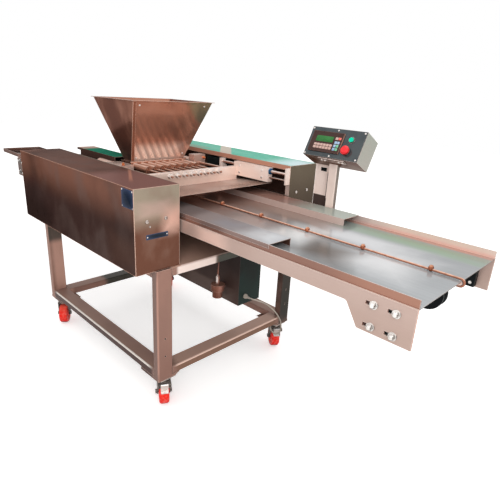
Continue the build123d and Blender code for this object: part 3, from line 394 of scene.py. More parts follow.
                 area("#e2cdc5", front, (0.5, 0.2, 0.94), (1.4, 0.03, 0.04), 0.9, soft=0.1)]),
    # Hopper, painted reflections: dark clouds on the outfeed face and a bright painted highlight at its
    # foot
    "hopper": dict(
        top="#84695f", frontHigh="#664339", frontLow="#453732", endHigh="#c48c75", endLow="#f4c9b6",
        under="#3a2c27", z=(1.09, 1.19), rough=0.15, metal=0.5, amount=0.05,
        edge=("#e3bba8", 0.003, 0.75),
        mottle=[("#d09a84", (6, 6, 2.4), 0.35), ("#855a4a", (4, 4, 2.5), 0.35)],
        paintedLightPatches=[area("#7a5446", end, (0.04, 0.04, 1.23), (0.12, 0.13, 0.08), 0.5, soft=0.95, ragged=0.8),
                 area("#705a52", end, (0.06, 0.21, 1.29), (0.12, 0.08, 0.13), 0.75, soft=0.9),
                 area("#ffeadd", end, (-0.05, -0.03, 1.085), (0.12, 0.22, 0.1), 1.0, soft=0.7)]),
    # Hopper seam: painted highlights along its edges over darker end faces
    "seam": dict(
        top="#f0c8b4", frontHigh="#e6b8a2", frontLow="#e6b8a2", endHigh="#a26a54", endLow="#a86f59",
        under="#8a6252", z=(1.09, 1.3), rough=0.22, metal=0.3, amount=0.06,
        edge=("#f6cbb6", 0.004, 1.0), mottle=[("#8a5a48", (12, 12, 5), 0.4)]),
    # Crossbar, carriage blocks and brackets: light faces with painted shade on the crossbar's near part
    "alloy": dict(
        top="#f3e4dc", frontHigh="#fbefe8", frontLow="#f3e0d6", endHigh="#fff0e7", endLow="#f6dccf",
        under="#7b5f56", z=(0.98, 1.07), rough=0.3, metal=0.15, amount=0.05,
        edge=("#fff6f0", 0.003, 0.5), mottle=[("#efd0c1", (6, 6, 6), 0.4)],
        paintedLightPatches=[area("#b3a297", end, (0.255, -0.32, 1.02), (0.03, 0.62, 0.1), 0.7, soft=0.95)]),
    # Drip guard and drive cylinders: dark and bright painted reflections on the top
    "guard": dict(
        top="#d9b5a6", frontHigh="#d9bdb1", frontLow="#b08a7b", endHigh="#e0bdae", endLow="#cda696",
        under="#4f3630", z=(0.98, 1.01), rough=0.2, metal=0.5, amount=0.05,
        edge=("#f3ded4", 0.003, 0.6), mottle=[("#e9d5cb", (5, 3, 5), 0.5)],
        paintedLightPatches=[area("#a98d80", up, (0.3, -0.2, 1.0), (0.2, 0.14, 0.05), 0.7, soft=0.9),
                 area("#8f7062", up, (0.5, 0.2, 1.0), (0.14, 0.2, 0.05), 0.8, soft=0.9),
                 area("#f0d8cc", up, (0.28, 0.25, 1.0), (0.12, 0.12, 0.05), 0.8)]),
    "flange": dict(
        top="#6e4838", frontHigh="#7a4c3c", frontLow="#573429", endHigh="#b27a62", endLow="#6d4334",
        under="#3a231c", z=(1.03, 1.055), rough=0.3, metal=0.6, amount=0.15,
        edge=("#e2b8a3", 0.003, 0.6), mottle=[("#9a6a56", (40, 40, 40), 0.3)]),
    # Tubes and rods: a narrow painted highlight along the tops over dark painted shade on the sides
    "rod": dict(
        top="#ffe2d2", frontHigh="#b0806b", frontLow="#3a241c", endHigh="#d8a58e", endLow="#8a5f4e",
        under="#2c1b16", z=(1.03, 1.06), rough=0.2, metal=0.4, stretch=(8, 400, 400), amount=0.1,
        edge=("#fff0e8", 0.002, 0.3), topBand=(0.65, 0.95),
        mottle=[("#c08c76", (12, 12, 12), 0.3)]),
    "nut": dict(
        top="#ffffff", frontHigh="#efe6e0", frontLow="#8d817b", endHigh="#fbf4f0", endLow="#e6dad3",
        under="#5a504b", z=(1.035, 1.055), rough=0.2, metal=0.3, amount=0.06,
        edge=("#ffffff", 0.002, 0.6), mottle=[("#cfc0b8", (60, 60, 60), 0.4)]),
    # Plate bolts: light front faces and dark end faces, painted light and shade
    "plateBolt": dict(
        top="#ffffff", frontHigh="#f4f1ed", frontLow="#e2ded9", endHigh="#5a5652", endLow="#484541",
        under="#2c2a28", z=(0.82, 0.92), rough=0.24, metal=0.2, amount=0.06,
        edge=("#8f8984", 0.0015, 0.6), mottle=[("#b9b2ac", (60, 60, 60), 0.4)]),
    "chrome": dict(
        top="#f4e6df", frontHigh="#cdb0a4", frontLow="#94786d", endHigh="#d8b8a8", endLow="#a98a7c",
        under="#4b362f", z=(1.03, 1.07), rough=0.12, metal=0.9, stretch=(8, 200, 200), amount=0.08,
        edge=("#ffffff", 0.002, 0.3), mottle=[("#ffffff", (12, 12, 12), 0.3)]),
    "zinc": dict(
        top="#dcd4ce", frontHigh="#a39791", frontLow="#756b66", endHigh="#b5a9a2", endLow="#80766f",
        under="#4a4643", z=(0.06, 0.15), rough=0.24, metal=0.7, amount=0.12,
        edge=("#ffffff", 0.002, 0.5), mottle=[("#6a605b", (30, 30, 30), 0.6)]),
    "fork": dict(
        top="#9a918b", frontHigh="#544d49", frontLow="#3d3734", endHigh="#665e59", endLow="#453f3b",
        under="#2a2725", z=(0.06, 0.15), rough=0.3, metal=0.4, amount=0.12,
        edge=("#efe6e0", 0.002, 0.6), mottle=[("#2f2b29", (30, 30, 30), 0.5)]),
    "bronze": dict(
        top="#d9a184", frontHigh="#b06a4c", frontLow="#8a4f39", endHigh="#a8644a", endLow="#8a4f39",
        under="#4b2c22", z=(0.92, 0.95), rough=0.3, metal=0.55, amount=0.12,
        edge=("#f0c4aa", 0.002, 0.5), mottle=[("#6f3f2e", (30, 30, 30), 0.4)]),
    # Air filter: a pale painted highlight band and a dark painted shade area on the front faces
    "filter": dict(
        top="#b88a78", frontHigh="#8d5f50", frontLow="#6e463a", endHigh="#a8786a", endLow="#7d5548",
        under="#3f2a24", z=(0.41, 0.5), rough=0.3, metal=0.3, amount=0.1,
        edge=("#e0bcae", 0.003, 0.5), mottle=[("#5a3a31", (20, 20, 20), 0.4)],
        paintedLightPatches=[area("#efe4de", front, (0.43, 0.03, 0.51), (0.2, 0.2, 0.03), 0.9),
                 area("#2a2625", front, (0.43, 0.03, 0.66), (0.2, 0.2, 0.13), 0.9)]),
    "black": dict(
        top="#22282a", frontHigh="#14191b", frontLow="#0c0f12", endHigh="#1a2022", endLow="#0f1214",
        under="#08090a", z=(0.8, 0.95), rough=0.42, amount=0.2,
        edge=("#4a5654", 0.003, 0.4), mottle=[("#1f2b29", (18, 18, 18), 0.5)]),
    # Cabinet: darker end faces are painted shade and a paler band low on the front is a painted highlight
    "cabinet": dict(
        top="#3c3430", frontHigh="#352a28", frontLow="#4a3a35", endHigh="#1d2a27", endLow="#26322e",
        under="#1b1817", z=(0.38, 0.68), rough=0.36, metal=0.1, amount=0.1,
        edge=("#6a5a54", 0.003, 0.5), mottle=[("#241c1a", (4, 4, 4), 0.5)],
        paintedLightPatches=[area("#7a6a63", front, (0.3, 0.07, 0.42), (0.25, 0.05, 0.05), 0.4)]),
    "panelFace": dict(
        top="#565d60", frontHigh="#545b5e", frontLow="#585e60", endHigh="#4c5255", endLow="#484d50",
        under="#303436", z=(1.2, 1.32), rough=0.1, metal=0.45, amount=0.06,
        edge=("#d9c6bd", 0.002, 0.8), mottle=[("#41474a", (14, 14, 14), 0.4)]),
    "panelBox": dict(
        top="#d9d8d2", frontHigh="#c9bdb5", frontLow="#b4a69d", endHigh="#a9aea4", endLow="#b0aea6",
        under="#6e4f43", z=(1.15, 1.32), rough=0.3, metal=0.35, amount=0.08,
        edge=("#f0e2da", 0.003, 0.6), mottle=[("#b3a79e", (8, 8, 8), 0.4)]),
    "terminal": dict(
        top="#4a3835", frontHigh="#4a3835", frontLow="#4f3c38", endHigh="#c89a86", endLow="#b58a78",
        under="#2c2120", z=(1.2, 1.32), rough=0.46, amount=0.1,
        edge=("#b08678", 0.002, 0.6), mottle=[("#3a2b29", (20, 20, 20), 0.4)]),
    "red": dict(
        top="#ff5a48", frontHigh="#ff2e24", frontLow="#f0221a", endHigh="#ff3c2e", endLow="#f22a20",
        under="#8a1410", z=(0.0, 0.125), rough=0.4, shine=0.1, amount=0.1,
        edge=("#ff8a78", 0.003, 0.4),
        mottle=[("#cc1a12", (16, 16, 16), 0.35), ("#eab4a4", (70, 70, 70), 0.2)]),
    "redButton": dict(
        top="#ff5055", frontHigh="#ff4a4e", frontLow="#f23a40", endHigh="#f53c3c", endLow="#d82426",
        under="#9a1618", z=(1.2, 1.3), rough=0.28, amount=0.05,
        edge=("#ff8c8c", 0.002, 0.4), mottle=[("#d82a30", (30, 30, 30), 0.3)]),
    "greenButton": dict(
        top="#18e6bc", frontHigh="#08dcb0", frontLow="#06cca2", endHigh="#10d8a8", endLow="#08b088",
        under="#087050", z=(1.2, 1.3), rough=0.28, amount=0.05,
        edge=("#8cf4dc", 0.002, 0.4), mottle=[("#08b890", (30, 30, 30), 0.3)]),
    "blue": dict(
        top="#3f6f9a", frontHigh="#2c5a86", frontLow="#20476c", endHigh="#35638e", endLow="#20476c",
        under="#142c44", z=(1.05, 1.09), rough=0.4, amount=0.1,
        edge=("#6f9fc4", 0.002, 0.4), mottle=[("#1c3c5c", (30, 30, 30), 0.4)]),
    "cable": dict(
        top="#d5cabf", frontHigh="#bdb2a6", frontLow="#a0958a", endHigh="#c4b9ad", endLow="#a0958a",
        under="#6a6058", z=(0.1, 0.45), rough=0.46, amount=0.08,
        edge=("#e8e0d8", 0.001, 0.2), mottle=[("#8f857b", (20, 20, 20), 0.4)]),
    "cord": dict(
        top="#eabfa9", frontHigh="#c9937c", frontLow="#a06a55", endHigh="#c9937c", endLow="#a06a55",
        under="#5a392e", z=(0.93, 0.945), rough=0.5, metal=0.1, stretch=(420, 120, 120), amount=0.4,
        edge=("#f0d0be", 0.001, 0.3), mottle=[("#8a5a47", (60, 20, 20), 0.4)]),
    "navy": dict(
        top="#1a2440", frontHigh="#0e1a2e", frontLow="#0c1626", endHigh="#30363f", endLow="#282d35",
        under="#0c1220", z=(1.0, 1.08), rough=0.5, shine=0.03, amount=0.1,
        edge=("#6f7fa8", 0.0015, 0.6), mottle=[("#16283a", (30, 30, 30), 0.4)]),
    "orange": dict(
        top="#f0a070", frontHigh="#e07a48", frontLow="#c4602f", endHigh="#e08a5a", endLow="#c4602f",
        under="#7a3a1c", z=(1.06, 1.08), rough=0.3, metal=0.3, amount=0.1,
        edge=("#ffd0b0", 0.001, 0.4), mottle=[("#b8562c", (40, 40, 40), 0.4)]),
    "window": dict(
        top="#3f7a46", frontHigh="#3c7a42", frontLow="#336c3a", endHigh="#3c7a42", endLow="#336c3a",
        under="#1f4424", z=(1.25, 1.3), rough=0.12, amount=0.06,
        edge=("#274f2c", 0.001, 0.5), mottle=[("#4a8a50", (30, 30, 30), 0.4)]),
    "paleKey": dict(
        top="#d6b8ae", frontHigh="#d2b1a8", frontLow="#c8a69c", endHigh="#b8968c", endLow="#a5857b",
        under="#8a766d", z=(1.21, 1.28), rough=0.4, amount=0.08,
        edge=("#ecd8d0", 0.001, 0.3), mottle=[("#d0b5a9", (40, 40, 40), 0.4)]),
    "blueKey": dict(
        top="#bcd4ea", frontHigh="#a9c6e2", frontLow="#93b4d6", endHigh="#93b4d6", endLow="#7a9cc0",
        under="#4a6482", z=(1.21, 1.28), rough=0.4, amount=0.08,
        edge=("#e8f2fb", 0.001, 0.4), mottle=[("#86aacd", (40, 40, 40), 0.4)]),
    "greenKey": dict(
        top="#a4dcc0", frontHigh="#86cfaa", frontLow="#6fbd95", endHigh="#6fbd95", endLow="#579e7a",
        under="#386a52", z=(1.21, 1.28), rough=0.4, amount=0.08,
        edge=("#dcf4e8", 0.001, 0.4), mottle=[("#66b48d", (40, 40, 40), 0.4)]),
    "redKey": dict(
        top="#ff9a90", frontHigh="#f87a72", frontLow="#ea645c", endHigh="#ea645c", endLow="#c84c46",
        under="#8a2c28", z=(1.21, 1.3), rough=0.4, amount=0.08,
        edge=("#ffd8d4", 0.001, 0.4), mottle=[("#e05a52", (40, 40, 40), 0.4)]),
}
# Infeed shelf: the guides' painted tones with a darker top tone and none of their painted reflections
looks["shelf"] = dict(looks["guide"], top="#453833", paintedLightPatches=[])  # the guides' sheet, dark on top

# Nodes that wear each look
nodeLooks = {
    "casing": ("near_casing",),
    "endCover": ("near_end_cover",),
    "farCasing": ("far_casing",),
    "farEnd": ("far_end_plate",),
    "cover": ("drive_covers",),
    "frame": ("legs", "lower_rails", "upper_rails", "bed_sheet", "conveyor_stands"),
    "side": ("side_plate_near", "side_plate_far"),
    "post": ("panel_post", "cable_duct"),
    "table": ("table_tray",),
    "guide": ("near_guide", "far_guide", "head_plate"),
    "shelf": ("infeed_shelf",),
    "hopper": ("hopper",),
    "alloy": ("crossbar", "carriage_blocks", "rod_brackets"),
    "guard": ("drip_guard", "drive_cylinders"),
    "flange": ("manifold", "front_flange"),
    "rod": ("cylinder_tubes", "valve_spindle", "piston_rods"),
    "chrome": ("guide_rods",),
    "zinc": ("caster_plates",),
    "nut": ("rod_nuts",),
    "plateBolt": ("plate_bolts",),
    "bronze": ("pushers", "nozzles"),
    "filter": ("air_filter",),
    "black": ("outfeed_pulley", "infeed_pulley", "valve_actuator", "bearing_housings"),
    "cabinet": ("cabinet",),
    "panelFace": ("panel_face",),
    "panelBox": ("panel_box",),
    "terminal": ("terminal",),
    "redButton": ("stop_button",),
    "greenButton": ("start_button",),
    "blue": ("rod_seals",),
    "cord": ("pusher_cord",),
}
prefixLooks = {"caster_wheel": "red", "caster_fork": "fork", "brake_pedal": "nut"}

# Values that looks share or fall back on
finish = {"topBand": (0.4, 0.8), "spread": 0.2, "bump": 0.15, "relief": 0.0003, "metal": 0.0, "shine": 0.06,
          "metalFrom": 0.25, "metalTint": (0.35, 0.33, 0.32, 1)}


def place(tree, name, **values):
    node = put(tree, "Group", node_tree=groups[name])
    for key, value in values.items():
        feed(tree, node.inputs[key], linear(value) if isinstance(value, str) else value)
    return node.outputs


def makeLook(name, spec):
    material = bpy.data.materials.new(name)
    material.use_nodes = True
    tree = material.node_tree
    shader = tree.nodes["Principled BSDF"]
    # Painted light and shade tones by facing and height
    paintedTones = {name: spec[name] for name in toneNames}
    paintedTones["zLow"], paintedTones["zHigh"] = spec["z"]
    paintedTones["topFrom"], paintedTones["topFull"] = spec.get("topBand", finish["topBand"])
    color = place(tree, "paintedFacingShade", **paintedTones)["color"]
    for second, scale, amount in spec.get("mottle", []):
        color = place(tree, "mottle", color=color, second=second, scale=scale, amount=amount)["color"]
    for paintedLightPatch in spec.get("paintedLightPatches", []):
        color = place(tree, "paintedLightPatch", color=color, **paintedLightPatch)["color"]
    line, radius, amount = spec["edge"]
    color = place(tree, "edgeHighlight", color=color, line=line, radius=radius, amount=amount)["color"]
    grain = place(tree, "grain", color=color, stretch=spec.get("stretch", fine), amount=spec["amount"],
                  rough=spec["rough"], spread=finish["spread"])
    relief = {"Height": grain["height"], "Strength": finish["bump"], "Distance": finish["relief"]}
    bump = put(tree, "Bump", relief)
    feed(tree, shader.inputs["Base Color"], grain["color"])
    feed(tree, shader.inputs["Roughness"], grain["rough"])
    feed(tree, shader.inputs["Normal"], bump.outputs[0])
    metal = spec.get("metal", finish["metal"])
    shader.inputs["Metallic"].default_value = metal
    shader.inputs["Specular IOR Level"].default_value = spec.get("shine", finish["shine"])
    tint = finish["metalTint"] if metal > finish["metalFrom"] else white
    shader.inputs["Specular Tint"].default_value = tint
    return material


materials = {name: makeLook(name, spec) for name, spec in looks.items()}


def dress(node, look):
    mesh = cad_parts[node].data
    mesh.materials.clear()
    mesh.materials.append(materials[look])


for look, names in nodeLooks.items():
    for node in names:
        dress(node, look)
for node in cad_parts:
    for prefix, look in prefixLooks.items():
        if node.startswith(prefix):
            dress(node, look)
cable.data.materials.append(materials["cable"])
print("materials set")

# Shapes shared by the trim: a screw head as shares of its radius and height, a plate's edge of its bevel
headShape = [(1, 0), (1, 0.35), (0.86, 0.75), (0.5, 1), (0.42, 1), (0.36, 0.55), (0, 0.5)]
edgeShape = [(0, 1), (0.4, 0.3), (1, 0)]
leastCorner = 0.0001
smoothBelow = math.radians(35)


# Mesh helpers: a frame on a face, turned heads, plates with rounded corners, a bar on four corners
def faceFrame(origin, across, normal):
    n = Vector(normal).normalized()
    u = Vector(across).normalized()
    return Matrix.Translation(origin) @ Matrix((u, n.cross(u), n)).transposed().to_4x4()


def addTurned(mesh, profile, base, segments=20):
    turns = [2 * math.pi * i / segments for i in range(segments)]
    rings = []
    for radius, height in profile:
        if radius == 0:
            rings.append([mesh.verts.new(base @ Vector((0, 0, height)))])
            continue
        points = [Vector((radius * math.cos(t), radius * math.sin(t), height)) for t in turns]
        rings.append([mesh.verts.new(base @ p) for p in points])
    for low, high in zip(rings, rings[1:]):
        for i in range(segments):
            j = (i + 1) % segments
            corners = [low[i % len(low)], low[j % len(low)], high[j % len(high)], high[i % len(high)]]
            mesh.faces.new([c for k, c in enumerate(corners) if c not in corners[:k]])


def addPlate(mesh, base, wide, tall, thick, corner, bevel, steps=4):
    def ring(inset, height):
        points = []
        radius = max(corner - inset, leastCorner)
        for k, (sx, sy) in enumerate(((1, 1), (-1, 1), (-1, -1), (1, -1))):
            for i in range(steps + 1):
                t = math.pi / 2 * (k + i / steps)
                x = sx * (wide / 2 - inset - radius) + radius * math.cos(t)
                y = sy * (tall / 2 - inset - radius) + radius * math.sin(t)
                points.append(mesh.verts.new(base @ Vector((x, y, height))))
        return points
    rings = [ring(0, 0)] + [ring(bevel * i, thick - bevel * drop) for i, drop in edgeShape]
    for low, high in zip(rings, rings[1:]):
        for i in range(len(low)):
            j = (i + 1) % len(low)
            mesh.faces.new((low[i], low[j], high[j], high[i]))
    mesh.faces.new(rings[-1])
    mesh.faces.new(list(reversed(rings[0])))


def addBar(mesh, corners, lift, inset):
    low = [mesh.verts.new(c) for c in corners]
    middle = sum((Vector(c) for c in corners), Vector()) / len(corners)
    high = [mesh.verts.new(Vector(c) + lift + (middle - Vector(c)).normalized() * inset) for c in corners]
    for i in range(len(low)):
        j = (i + 1) % len(low)
        mesh.faces.new((low[i], low[j], high[j], high[i]))
    mesh.faces.new(high)
    mesh.faces.new(list(reversed(low)))


def finishPiece(name, mesh, look, body):
    bmesh.ops.recalc_face_normals(mesh, faces=mesh.faces[:])
    data = bpy.data.meshes.new(name)
    mesh.to_mesh(data)
    mesh.free()
    data.materials.append(materials[look])
    data.shade_smooth()
    data.set_sharp_from_angle(angle=smoothBelow)
    piece = bpy.data.objects.new(name, data)
    bpy.context.scene.collection.objects.link(piece)
    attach(piece, body)


def makeHeads(name, places, across, normal, radius, high, look="nut", body="machine"):
    profile = [(radius * r, high * h) for r, h in headShape]
    mesh = bmesh.new()
    for spot in places:
        addTurned(mesh, profile, faceFrame(spot, across, normal))
    finishPiece(name, mesh, look, body)


# Bare plates on the near casing, with their rivets, and the screws of its end cover
namePlate = {
    "x": 0.529, "z": 1.039, "wide": 0.084, "tall": 0.076, "thick": 0.0006, "corner": 0.004,
    "bevel": 0.0003, "rivetInset": 0.005, "rivetRows": (-1, 1), "rivetRadius": 0.0035, "rivetHigh": 0.0006,
}
stripPlate = {
    "y": -0.447, "z": 0.881, "wide": 0.106, "tall": 0.022, "thick": 0.0006, "corner": 0.003,
    "bevel": 0.0003, "rivetInset": 0.006, "rivetRows": (0,), "rivetRadius": 0.003, "rivetHigh": 0.0012,
}
endScrews = {
    "bigEndScrews": {"places": [(-0.4945, 0.947), (-0.404, 0.949)], "radius": 0.008, "high": 0.004},
    "smallEndScrews": {"places": [(-0.481, 0.924)], "radius": 0.004, "high": 0.002},
}


def makeRivetedPlate(name, spec, middle, across, normal):
    base = faceFrame(middle, across, normal)
    mesh = bmesh.new()
    addPlate(mesh, base, spec["wide"], spec["tall"], spec["thick"], spec["corner"], spec["bevel"])
    finishPiece(name, mesh, "navy", "machine")
    a = spec["wide"] / 2 - spec["rivetInset"]
    b = spec["tall"] / 2 - spec["rivetInset"]
    corners = [(s * a, row * b) for s in (-1, 1) for row in spec["rivetRows"]]
    spots = [base @ Vector((*corner, spec["thick"] / 2)) for corner in corners]
    makeHeads(name + "Rivets", spots, across, normal, spec["rivetRadius"], spec["rivetHigh"])


def makeCasingPlates():
    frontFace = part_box("near_casing")[0].y
    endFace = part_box("near_end_cover")[1].x
    middle = (namePlate["x"], frontFace, namePlate["z"])
    makeRivetedPlate("namePlate", namePlate, middle, (1, 0, 0), front)
    middle = (endFace, stripPlate["y"], stripPlate["z"])
    makeRivetedPlate("stripPlate", stripPlate, middle, (0, 1, 0), end)
    for name, spec in endScrews.items():
        spots = [(endFace, y, z) for y, z in spec["places"]]
        makeHeads(name, spots, (0, 1, 0), end, spec["radius"], spec["high"], look="zinc")


makeCasingPlates()
print("casing plates fixed")

# Hopper seam along its near outfeed corner, and the screws of its outfeed face
hopperTrim = {
    "foot": (-0.068, -0.172, 1.073), "rim": (0.0905, -0.2460, 1.383), "slope": (0.1595, 0, 0.314),
    "seamWide": 0.017, "seamThick": 0.002, "seamInset": 0.0004, "screwRadius": 0.005, "screwHigh": 0.0028,
    "screws": [(-0.0589, -0.1481, 1.0890), (-0.0533, 0.1516, 1.0999), (0.0812, -0.2050, 1.3646),
               (0.0812, 0.1990, 1.3646)],
}


def makeHopperTrim(spec):
    foot, rim = Vector(spec["foot"]), Vector(spec["rim"])
    slope = Vector(spec["slope"]).normalized()
    outward = Vector((slope.z, 0, -slope.x))
    inward = Vector((0, 1, 0)) * spec["seamWide"]
    corners = [foot, rim, rim + inward, foot + inward]
    mesh = bmesh.new()
    addBar(mesh, corners, outward * spec["seamThick"], spec["seamInset"])
    finishPiece("hopperSeam", mesh, "seam", "machine")
    makeHeads("hopperScrews", spec["screws"], (0, 1, 0), outward, spec["screwRadius"], spec["screwHigh"])


makeHopperTrim(hopperTrim)
print("hopper trimmed")

# Operator panel: window, keys and screws on the tilted face, flange under the box
panel = {
    "origin": (0.883, 0.260, 1.196), "tilt": 27.5, "middle": 0.0705, "terminalFront": 0.007,
    "window": {"area": (-0.100, -0.007, -0.001, 0.027), "thick": 0.0006, "corner": 0.002, "bevel": 0.0003},
    "numberKeys": {"area": (-0.102, -0.002, -0.036, -0.009), "columns": 6, "rows": 2,
                   "size": (0.0148, 0.0115)},
    "sideKeys": {"area": (0.004, 0.032, -0.038, 0.009), "columns": 2, "rows": 3, "size": (0.0122, 0.0125)},
    "topKeys": {"places": {"paleKey": (0.010, 0.0205), "redKey": (0.0255, 0.0205)},
                "size": (0.0138, 0.0115)},
    "key": {"thick": 0.0014, "corner": 0.0015, "bevel": 0.0006},
    "screws": {"a": (-0.138, -0.002, 0.135), "b": (-0.062, 0.062), "radius": 0.0042, "high": 0.002},
    "flange": {"a": (-0.068, 0.074), "c": (-0.046, -0.012), "thick": 0.003, "corner": 0.004,
               "bevel": 0.0006, "screws": (-0.052, -0.034, 0.042, 0.060), "screwRow": -0.029,
               "screwRadius": 0.006, "screwHigh": 0.005},
}


# Frame on the panel: a along x, b up the tilted face from its middle, c out of it
def panelFrame(spec, a, b, c):
    tilt = math.radians(spec["tilt"])
    normal = Vector((0, -math.cos(tilt), math.sin(tilt)))
    rise = Vector((0, math.sin(tilt), math.cos(tilt)))
    spot = Vector(spec["origin"]) + Vector((a, 0, 0)) + rise * (b + spec["middle"]) + normal * c
    return faceFrame(spot, (1, 0, 0), normal)


def keyPlaces(spec):
    a0, a1, b0, b1 = spec["area"]
    stepA = (a1 - a0) / spec["columns"]
    stepB = (b1 - b0) / spec["rows"]
    cells = [(i, j) for i in range(spec["columns"]) for j in range(spec["rows"])]
    return {(i, j): (a0 + (i + 0.5) * stepA, b0 + (j + 0.5) * stepB) for i, j in cells}


def makeKeys(spec):
    number, side, top, cap = (spec[k] for k in ("numberKeys", "sideKeys", "topKeys", "key"))
    pale = [(a, b, number["size"]) for a, b in keyPlaces(number).values()]
    keys = {"paleKey": pale, "blueKey": [], "greenKey": [], "redKey": []}
    for (i, j), (a, b) in keyPlaces(side).items():
        look = "blueKey" if i == 0 or j == side["rows"] - 1 else "greenKey"
        keys[look].append((a, b, side["size"]))
    for look, (a, b) in top["places"].items():
        keys[look].append((a, b, top["size"]))
    for look, spots in keys.items():
        mesh = bmesh.new()
        for a, b, (wide, tall) in spots:
            base = panelFrame(spec, a, b, spec["terminalFront"])
            addPlate(mesh, base, wide, tall, cap["thick"], cap["corner"], cap["bevel"])
        finishPiece(look + "s", mesh, look, "machine")


def makeFlange(spec):
    flange = spec["flange"]
    (a0, a1), (c0, c1) = flange["a"], flange["c"]
    foot = -spec["middle"]
    down = -panelFrame(spec, 0, 0, 0).col[1].xyz
    spot = panelFrame(spec, (a0 + a1) / 2, foot, (c0 + c1) / 2).translation
    base = faceFrame(spot, (1, 0, 0), down)
    mesh = bmesh.new()
    addPlate(mesh, base, a1 - a0, c1 - c0, flange["thick"], flange["corner"], flange["bevel"])
    finishPiece("panelFlange", mesh, "post", "machine")
    row = [panelFrame(spec, a, foot, flange["screwRow"]).translation for a in flange["screws"]]
    spots = [spot + down * flange["thick"] for spot in row]
    makeHeads("flangeScrews", spots, (1, 0, 0), down, flange["screwRadius"], flange["screwHigh"])


def makePanel(spec):
    pane = spec["window"]
    a0, a1, b0, b1 = pane["area"]
    base = panelFrame(spec, (a0 + a1) / 2, (b0 + b1) / 2, spec["terminalFront"])
    mesh = bmesh.new()
    addPlate(mesh, base, a1 - a0, b1 - b0, pane["thick"], pane["corner"], pane["bevel"])
    finishPiece("terminalWindow", mesh, "window", "machine")
    makeKeys(spec)
    screws = spec["screws"]
    outward = base.col[2].xyz
    spots = [panelFrame(spec, a, b, 0.0).translation for a in screws["a"] for b in screws["b"]]
    makeHeads("panelScrews", spots, (1, 0, 0), outward, screws["radius"], screws["high"])
    makeFlange(spec)


makePanel(panel)
print("panel fitted")

# Bolts of the far end plate and the carriage
boltSets = {
    "farEndBolts": {
        "places": [(0.611, 0.396, 0.971), (0.611, 0.486, 0.974)], "across": (0, 1, 0), "normal": end,
        "radius": 0.0075, "high": 0.005, "body": "machine"},
    "carriageBolts": {
        "places": [(x, 0.300, z) for x in (0.2750, 0.4450) for z in (1.068, 1.030)], "across": (1, 0, 0),
        "normal": front, "radius": 0.006, "high": 0.004, "body": "piston_carriage"},
}
for name, spec in boltSets.items():
    makeHeads(name, **spec)

# Air fittings, cable gland and grommet, as radius and height along the axis
turnedParts = {
    "nearFitting": {
        "place": (-0.010, -0.253, 1.065), "across": (1, 0, 0), "normal": up, "look": "orange",
        "slot": "bronze",
        "profile": [(0.0075, 0), (0.0075, 0.005), (0.006, 0.006), (0.006, 0.012), (0.004, 0.014),
                    (0.003, 0.014), (0, 0.010)]},
    "farFitting": {
        "place": (0.0, 0.268, 1.076), "across": (0, 1, 0), "normal": end, "look": "orange",
        "slot": "bronze",
        "profile": [(0.007, 0), (0.007, 0.006), (0.0055, 0.007), (0.0055, 0.013), (0.004, 0.015),
                    (0.003, 0.015), (0, 0.011)]},
    "gland": {
        "place": supplyCable["route"][0], "across": (0, 1, 0), "normal": end, "look": "cable",
        "slot": "cable_sheath",
        "profile": [(0.013, 0), (0.013, 0.006), (0.0105, 0.0065), (0.0105, 0.014), (0.0085, 0.0165),
                    (0.0068, 0.018), (0.0062, 0.026), (0.0048, 0.036), (0.0042, 0.0395), (0.0038, 0.040)]},
    "grommet": {
        "place": supplyCable["route"][-1], "across": (1, 0, 0), "normal": (0, 0, -1), "look": "black",
        "slot": "black_plastic",
        "profile": [(0.008, 0), (0.008, 0.0025), (0.0066, 0.004), (0.005, 0.004), (0.004, 0.002)]},
}
for name, spec in turnedParts.items():
    mesh = bmesh.new()
    addTurned(mesh, spec["profile"], faceFrame(spec["place"], spec["across"], spec["normal"]))
    finishPiece(name, mesh, spec["look"], "machine")
print("small parts fitted")

# Painted shade: dark plates behind the bolt slots of the side plates, the slot of the cable duct and the
# holes of the legs, standing for the shade inside them
shadowPlates = {
    "bolts": {"half": 0.036, "back": 0.060, "side": 0.318, "wide": 0.015, "tall": 0.019},
    "duct": {"place": (0.7885, 0.374, 1.121), "wide": 0.055, "tall": 0.034},
    "legHoles": {"x": 0.583, "y": 0.42, "z": (0.296, 0.388), "radius": 0.0045, "thick": 0.0006},
    "thick": 0.001, "corner": 0.002, "bevel": 0.0003,
}


def makeShadowPlates(spec):
    rest = (spec["thick"], spec["corner"], spec["bevel"])
    bolts = spec["bolts"]
    mesh = bmesh.new()
    for pulley in ("outfeed_pulley", "infeed_pulley"):
        low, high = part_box(pulley)
        middle = (low + high) / 2
        for side in (-1, 1):
            for k in (-1, 1):
                spot = (middle.x - bolts["back"], side * bolts["side"], middle.z + k * bolts["half"])
                base = faceFrame(spot, (1, 0, 0), (0, -side, 0))
                addPlate(mesh, base, bolts["wide"], bolts["tall"], *rest)
    finishPiece("slotShadowPlates", mesh, "terminal", "machine")
    duct = spec["duct"]
    mesh = bmesh.new()
    addPlate(mesh, faceFrame(duct["place"], (1, 0, 0), (0, 1, 0)), duct["wide"], duct["tall"], *rest)
    finishPiece("ductShadowPlate", mesh, "black", "machine")
    holes = spec["legHoles"]
    disc = [(holes["radius"], 0), (holes["radius"], holes["thick"]), (0, holes["thick"])]
    mesh = bmesh.new()
    for way in (-1, 1):
        for side in (-1, 1):
            for z in holes["z"]:
                spot = (way * holes["x"], side * holes["y"], z)
                addTurned(mesh, disc, faceFrame(spot, (0, 1, 0), (way, 0, 0)))
    finishPiece("legHoleShadowDiscs", mesh, "black", "machine")


makeShadowPlates(shadowPlates)
print("slots shaded")

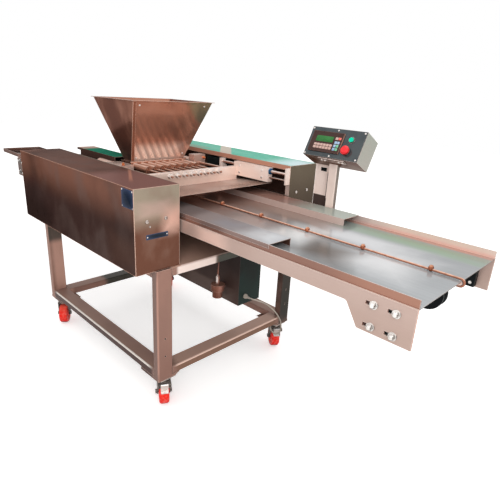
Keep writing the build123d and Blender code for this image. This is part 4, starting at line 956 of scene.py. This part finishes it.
# Stage: pale floor and white background, soft even light
stage = {
    "skyLow": (0.6, 0.57, 0.56, 1), "skyHigh": (0.9, 0.89, 0.88, 1), "skyBand": (-0.2, 0.9),
    "floorEdge": 14.0, "floorColor": (0.97, 0.97, 0.97, 1), "floorRough": 0.9, "floorGlow": 0.45,
}
lamps = {
    "overhead": {"spot": (0.6, -0.4, 3.6), "aim": (0.4, 0, 0.9), "size": 3.0, "watts": 8,
                 "color": (1, 0.98, 0.96)},
    "front": {"spot": (3.2, -2.4, 2.6), "aim": (0.3, 0, 0.8), "size": 2.0, "watts": 60,
              "color": (1, 0.97, 0.95)},
}


# Rays that should meet plain white: straight from the eye, mirrored or through glass
def seenRay(tree):
    path = put(tree, "LightPath").outputs
    sight = calc(tree, "MAXIMUM", path["Is Camera Ray"], path["Is Glossy Ray"])
    return calc(tree, "MAXIMUM", sight, path["Is Transmission Ray"])


def makeWorld(spec):
    world = bpy.data.worlds.new("studio")
    bpy.context.scene.world = world
    world.use_nodes = True
    tree = world.node_tree
    height = put(tree, "SeparateXYZ", {0: put(tree, "TexCoord").outputs["Generated"]}).outputs["Z"]
    light = blendColor(tree, step(tree, height, *spec["skyBand"]), spec["skyLow"], spec["skyHigh"])
    feed(tree, tree.nodes["Background"].inputs["Color"], blendColor(tree, seenRay(tree), light, white))


def makeFloor(spec):
    edge = spec["floorEdge"]
    corners = [(-edge, -edge, 0), (edge, -edge, 0), (edge, edge, 0), (-edge, edge, 0)]
    mesh = bpy.data.meshes.new("floor")
    mesh.from_pydata(corners, [], [(0, 1, 2, 3)])
    floor = bpy.data.objects.new("floor", mesh)
    bpy.context.scene.collection.objects.link(floor)
    material = bpy.data.materials.new("floor")
    material.use_nodes = True
    tree = material.node_tree
    shader = tree.nodes["Principled BSDF"]
    shader.inputs["Base Color"].default_value = spec["floorColor"]
    shader.inputs["Roughness"].default_value = spec["floorRough"]
    shader.inputs["Specular IOR Level"].default_value = 0.0
    shader.inputs["Emission Color"].default_value = white
    feed(tree, shader.inputs["Emission Strength"], calc(tree, "MULTIPLY", seenRay(tree), spec["floorGlow"]))
    mesh.materials.append(material)


def makeLamp(name, spec):
    data = bpy.data.lights.new(name, "AREA")
    data.size = spec["size"]
    data.energy = spec["watts"]
    data.color = spec["color"]
    lamp = bpy.data.objects.new(name, data)
    bpy.context.scene.collection.objects.link(lamp)
    lamp.location = spec["spot"]
    lamp.rotation_mode = "QUATERNION"
    lamp.rotation_quaternion = (Vector(spec["aim"]) - Vector(spec["spot"])).to_track_quat("-Z", "Y")


makeWorld(stage)
makeFloor(stage)
for name, spec in lamps.items():
    makeLamp(name, spec)
print("stage lit")

bpy.context.scene.view_settings.view_transform = "Standard"
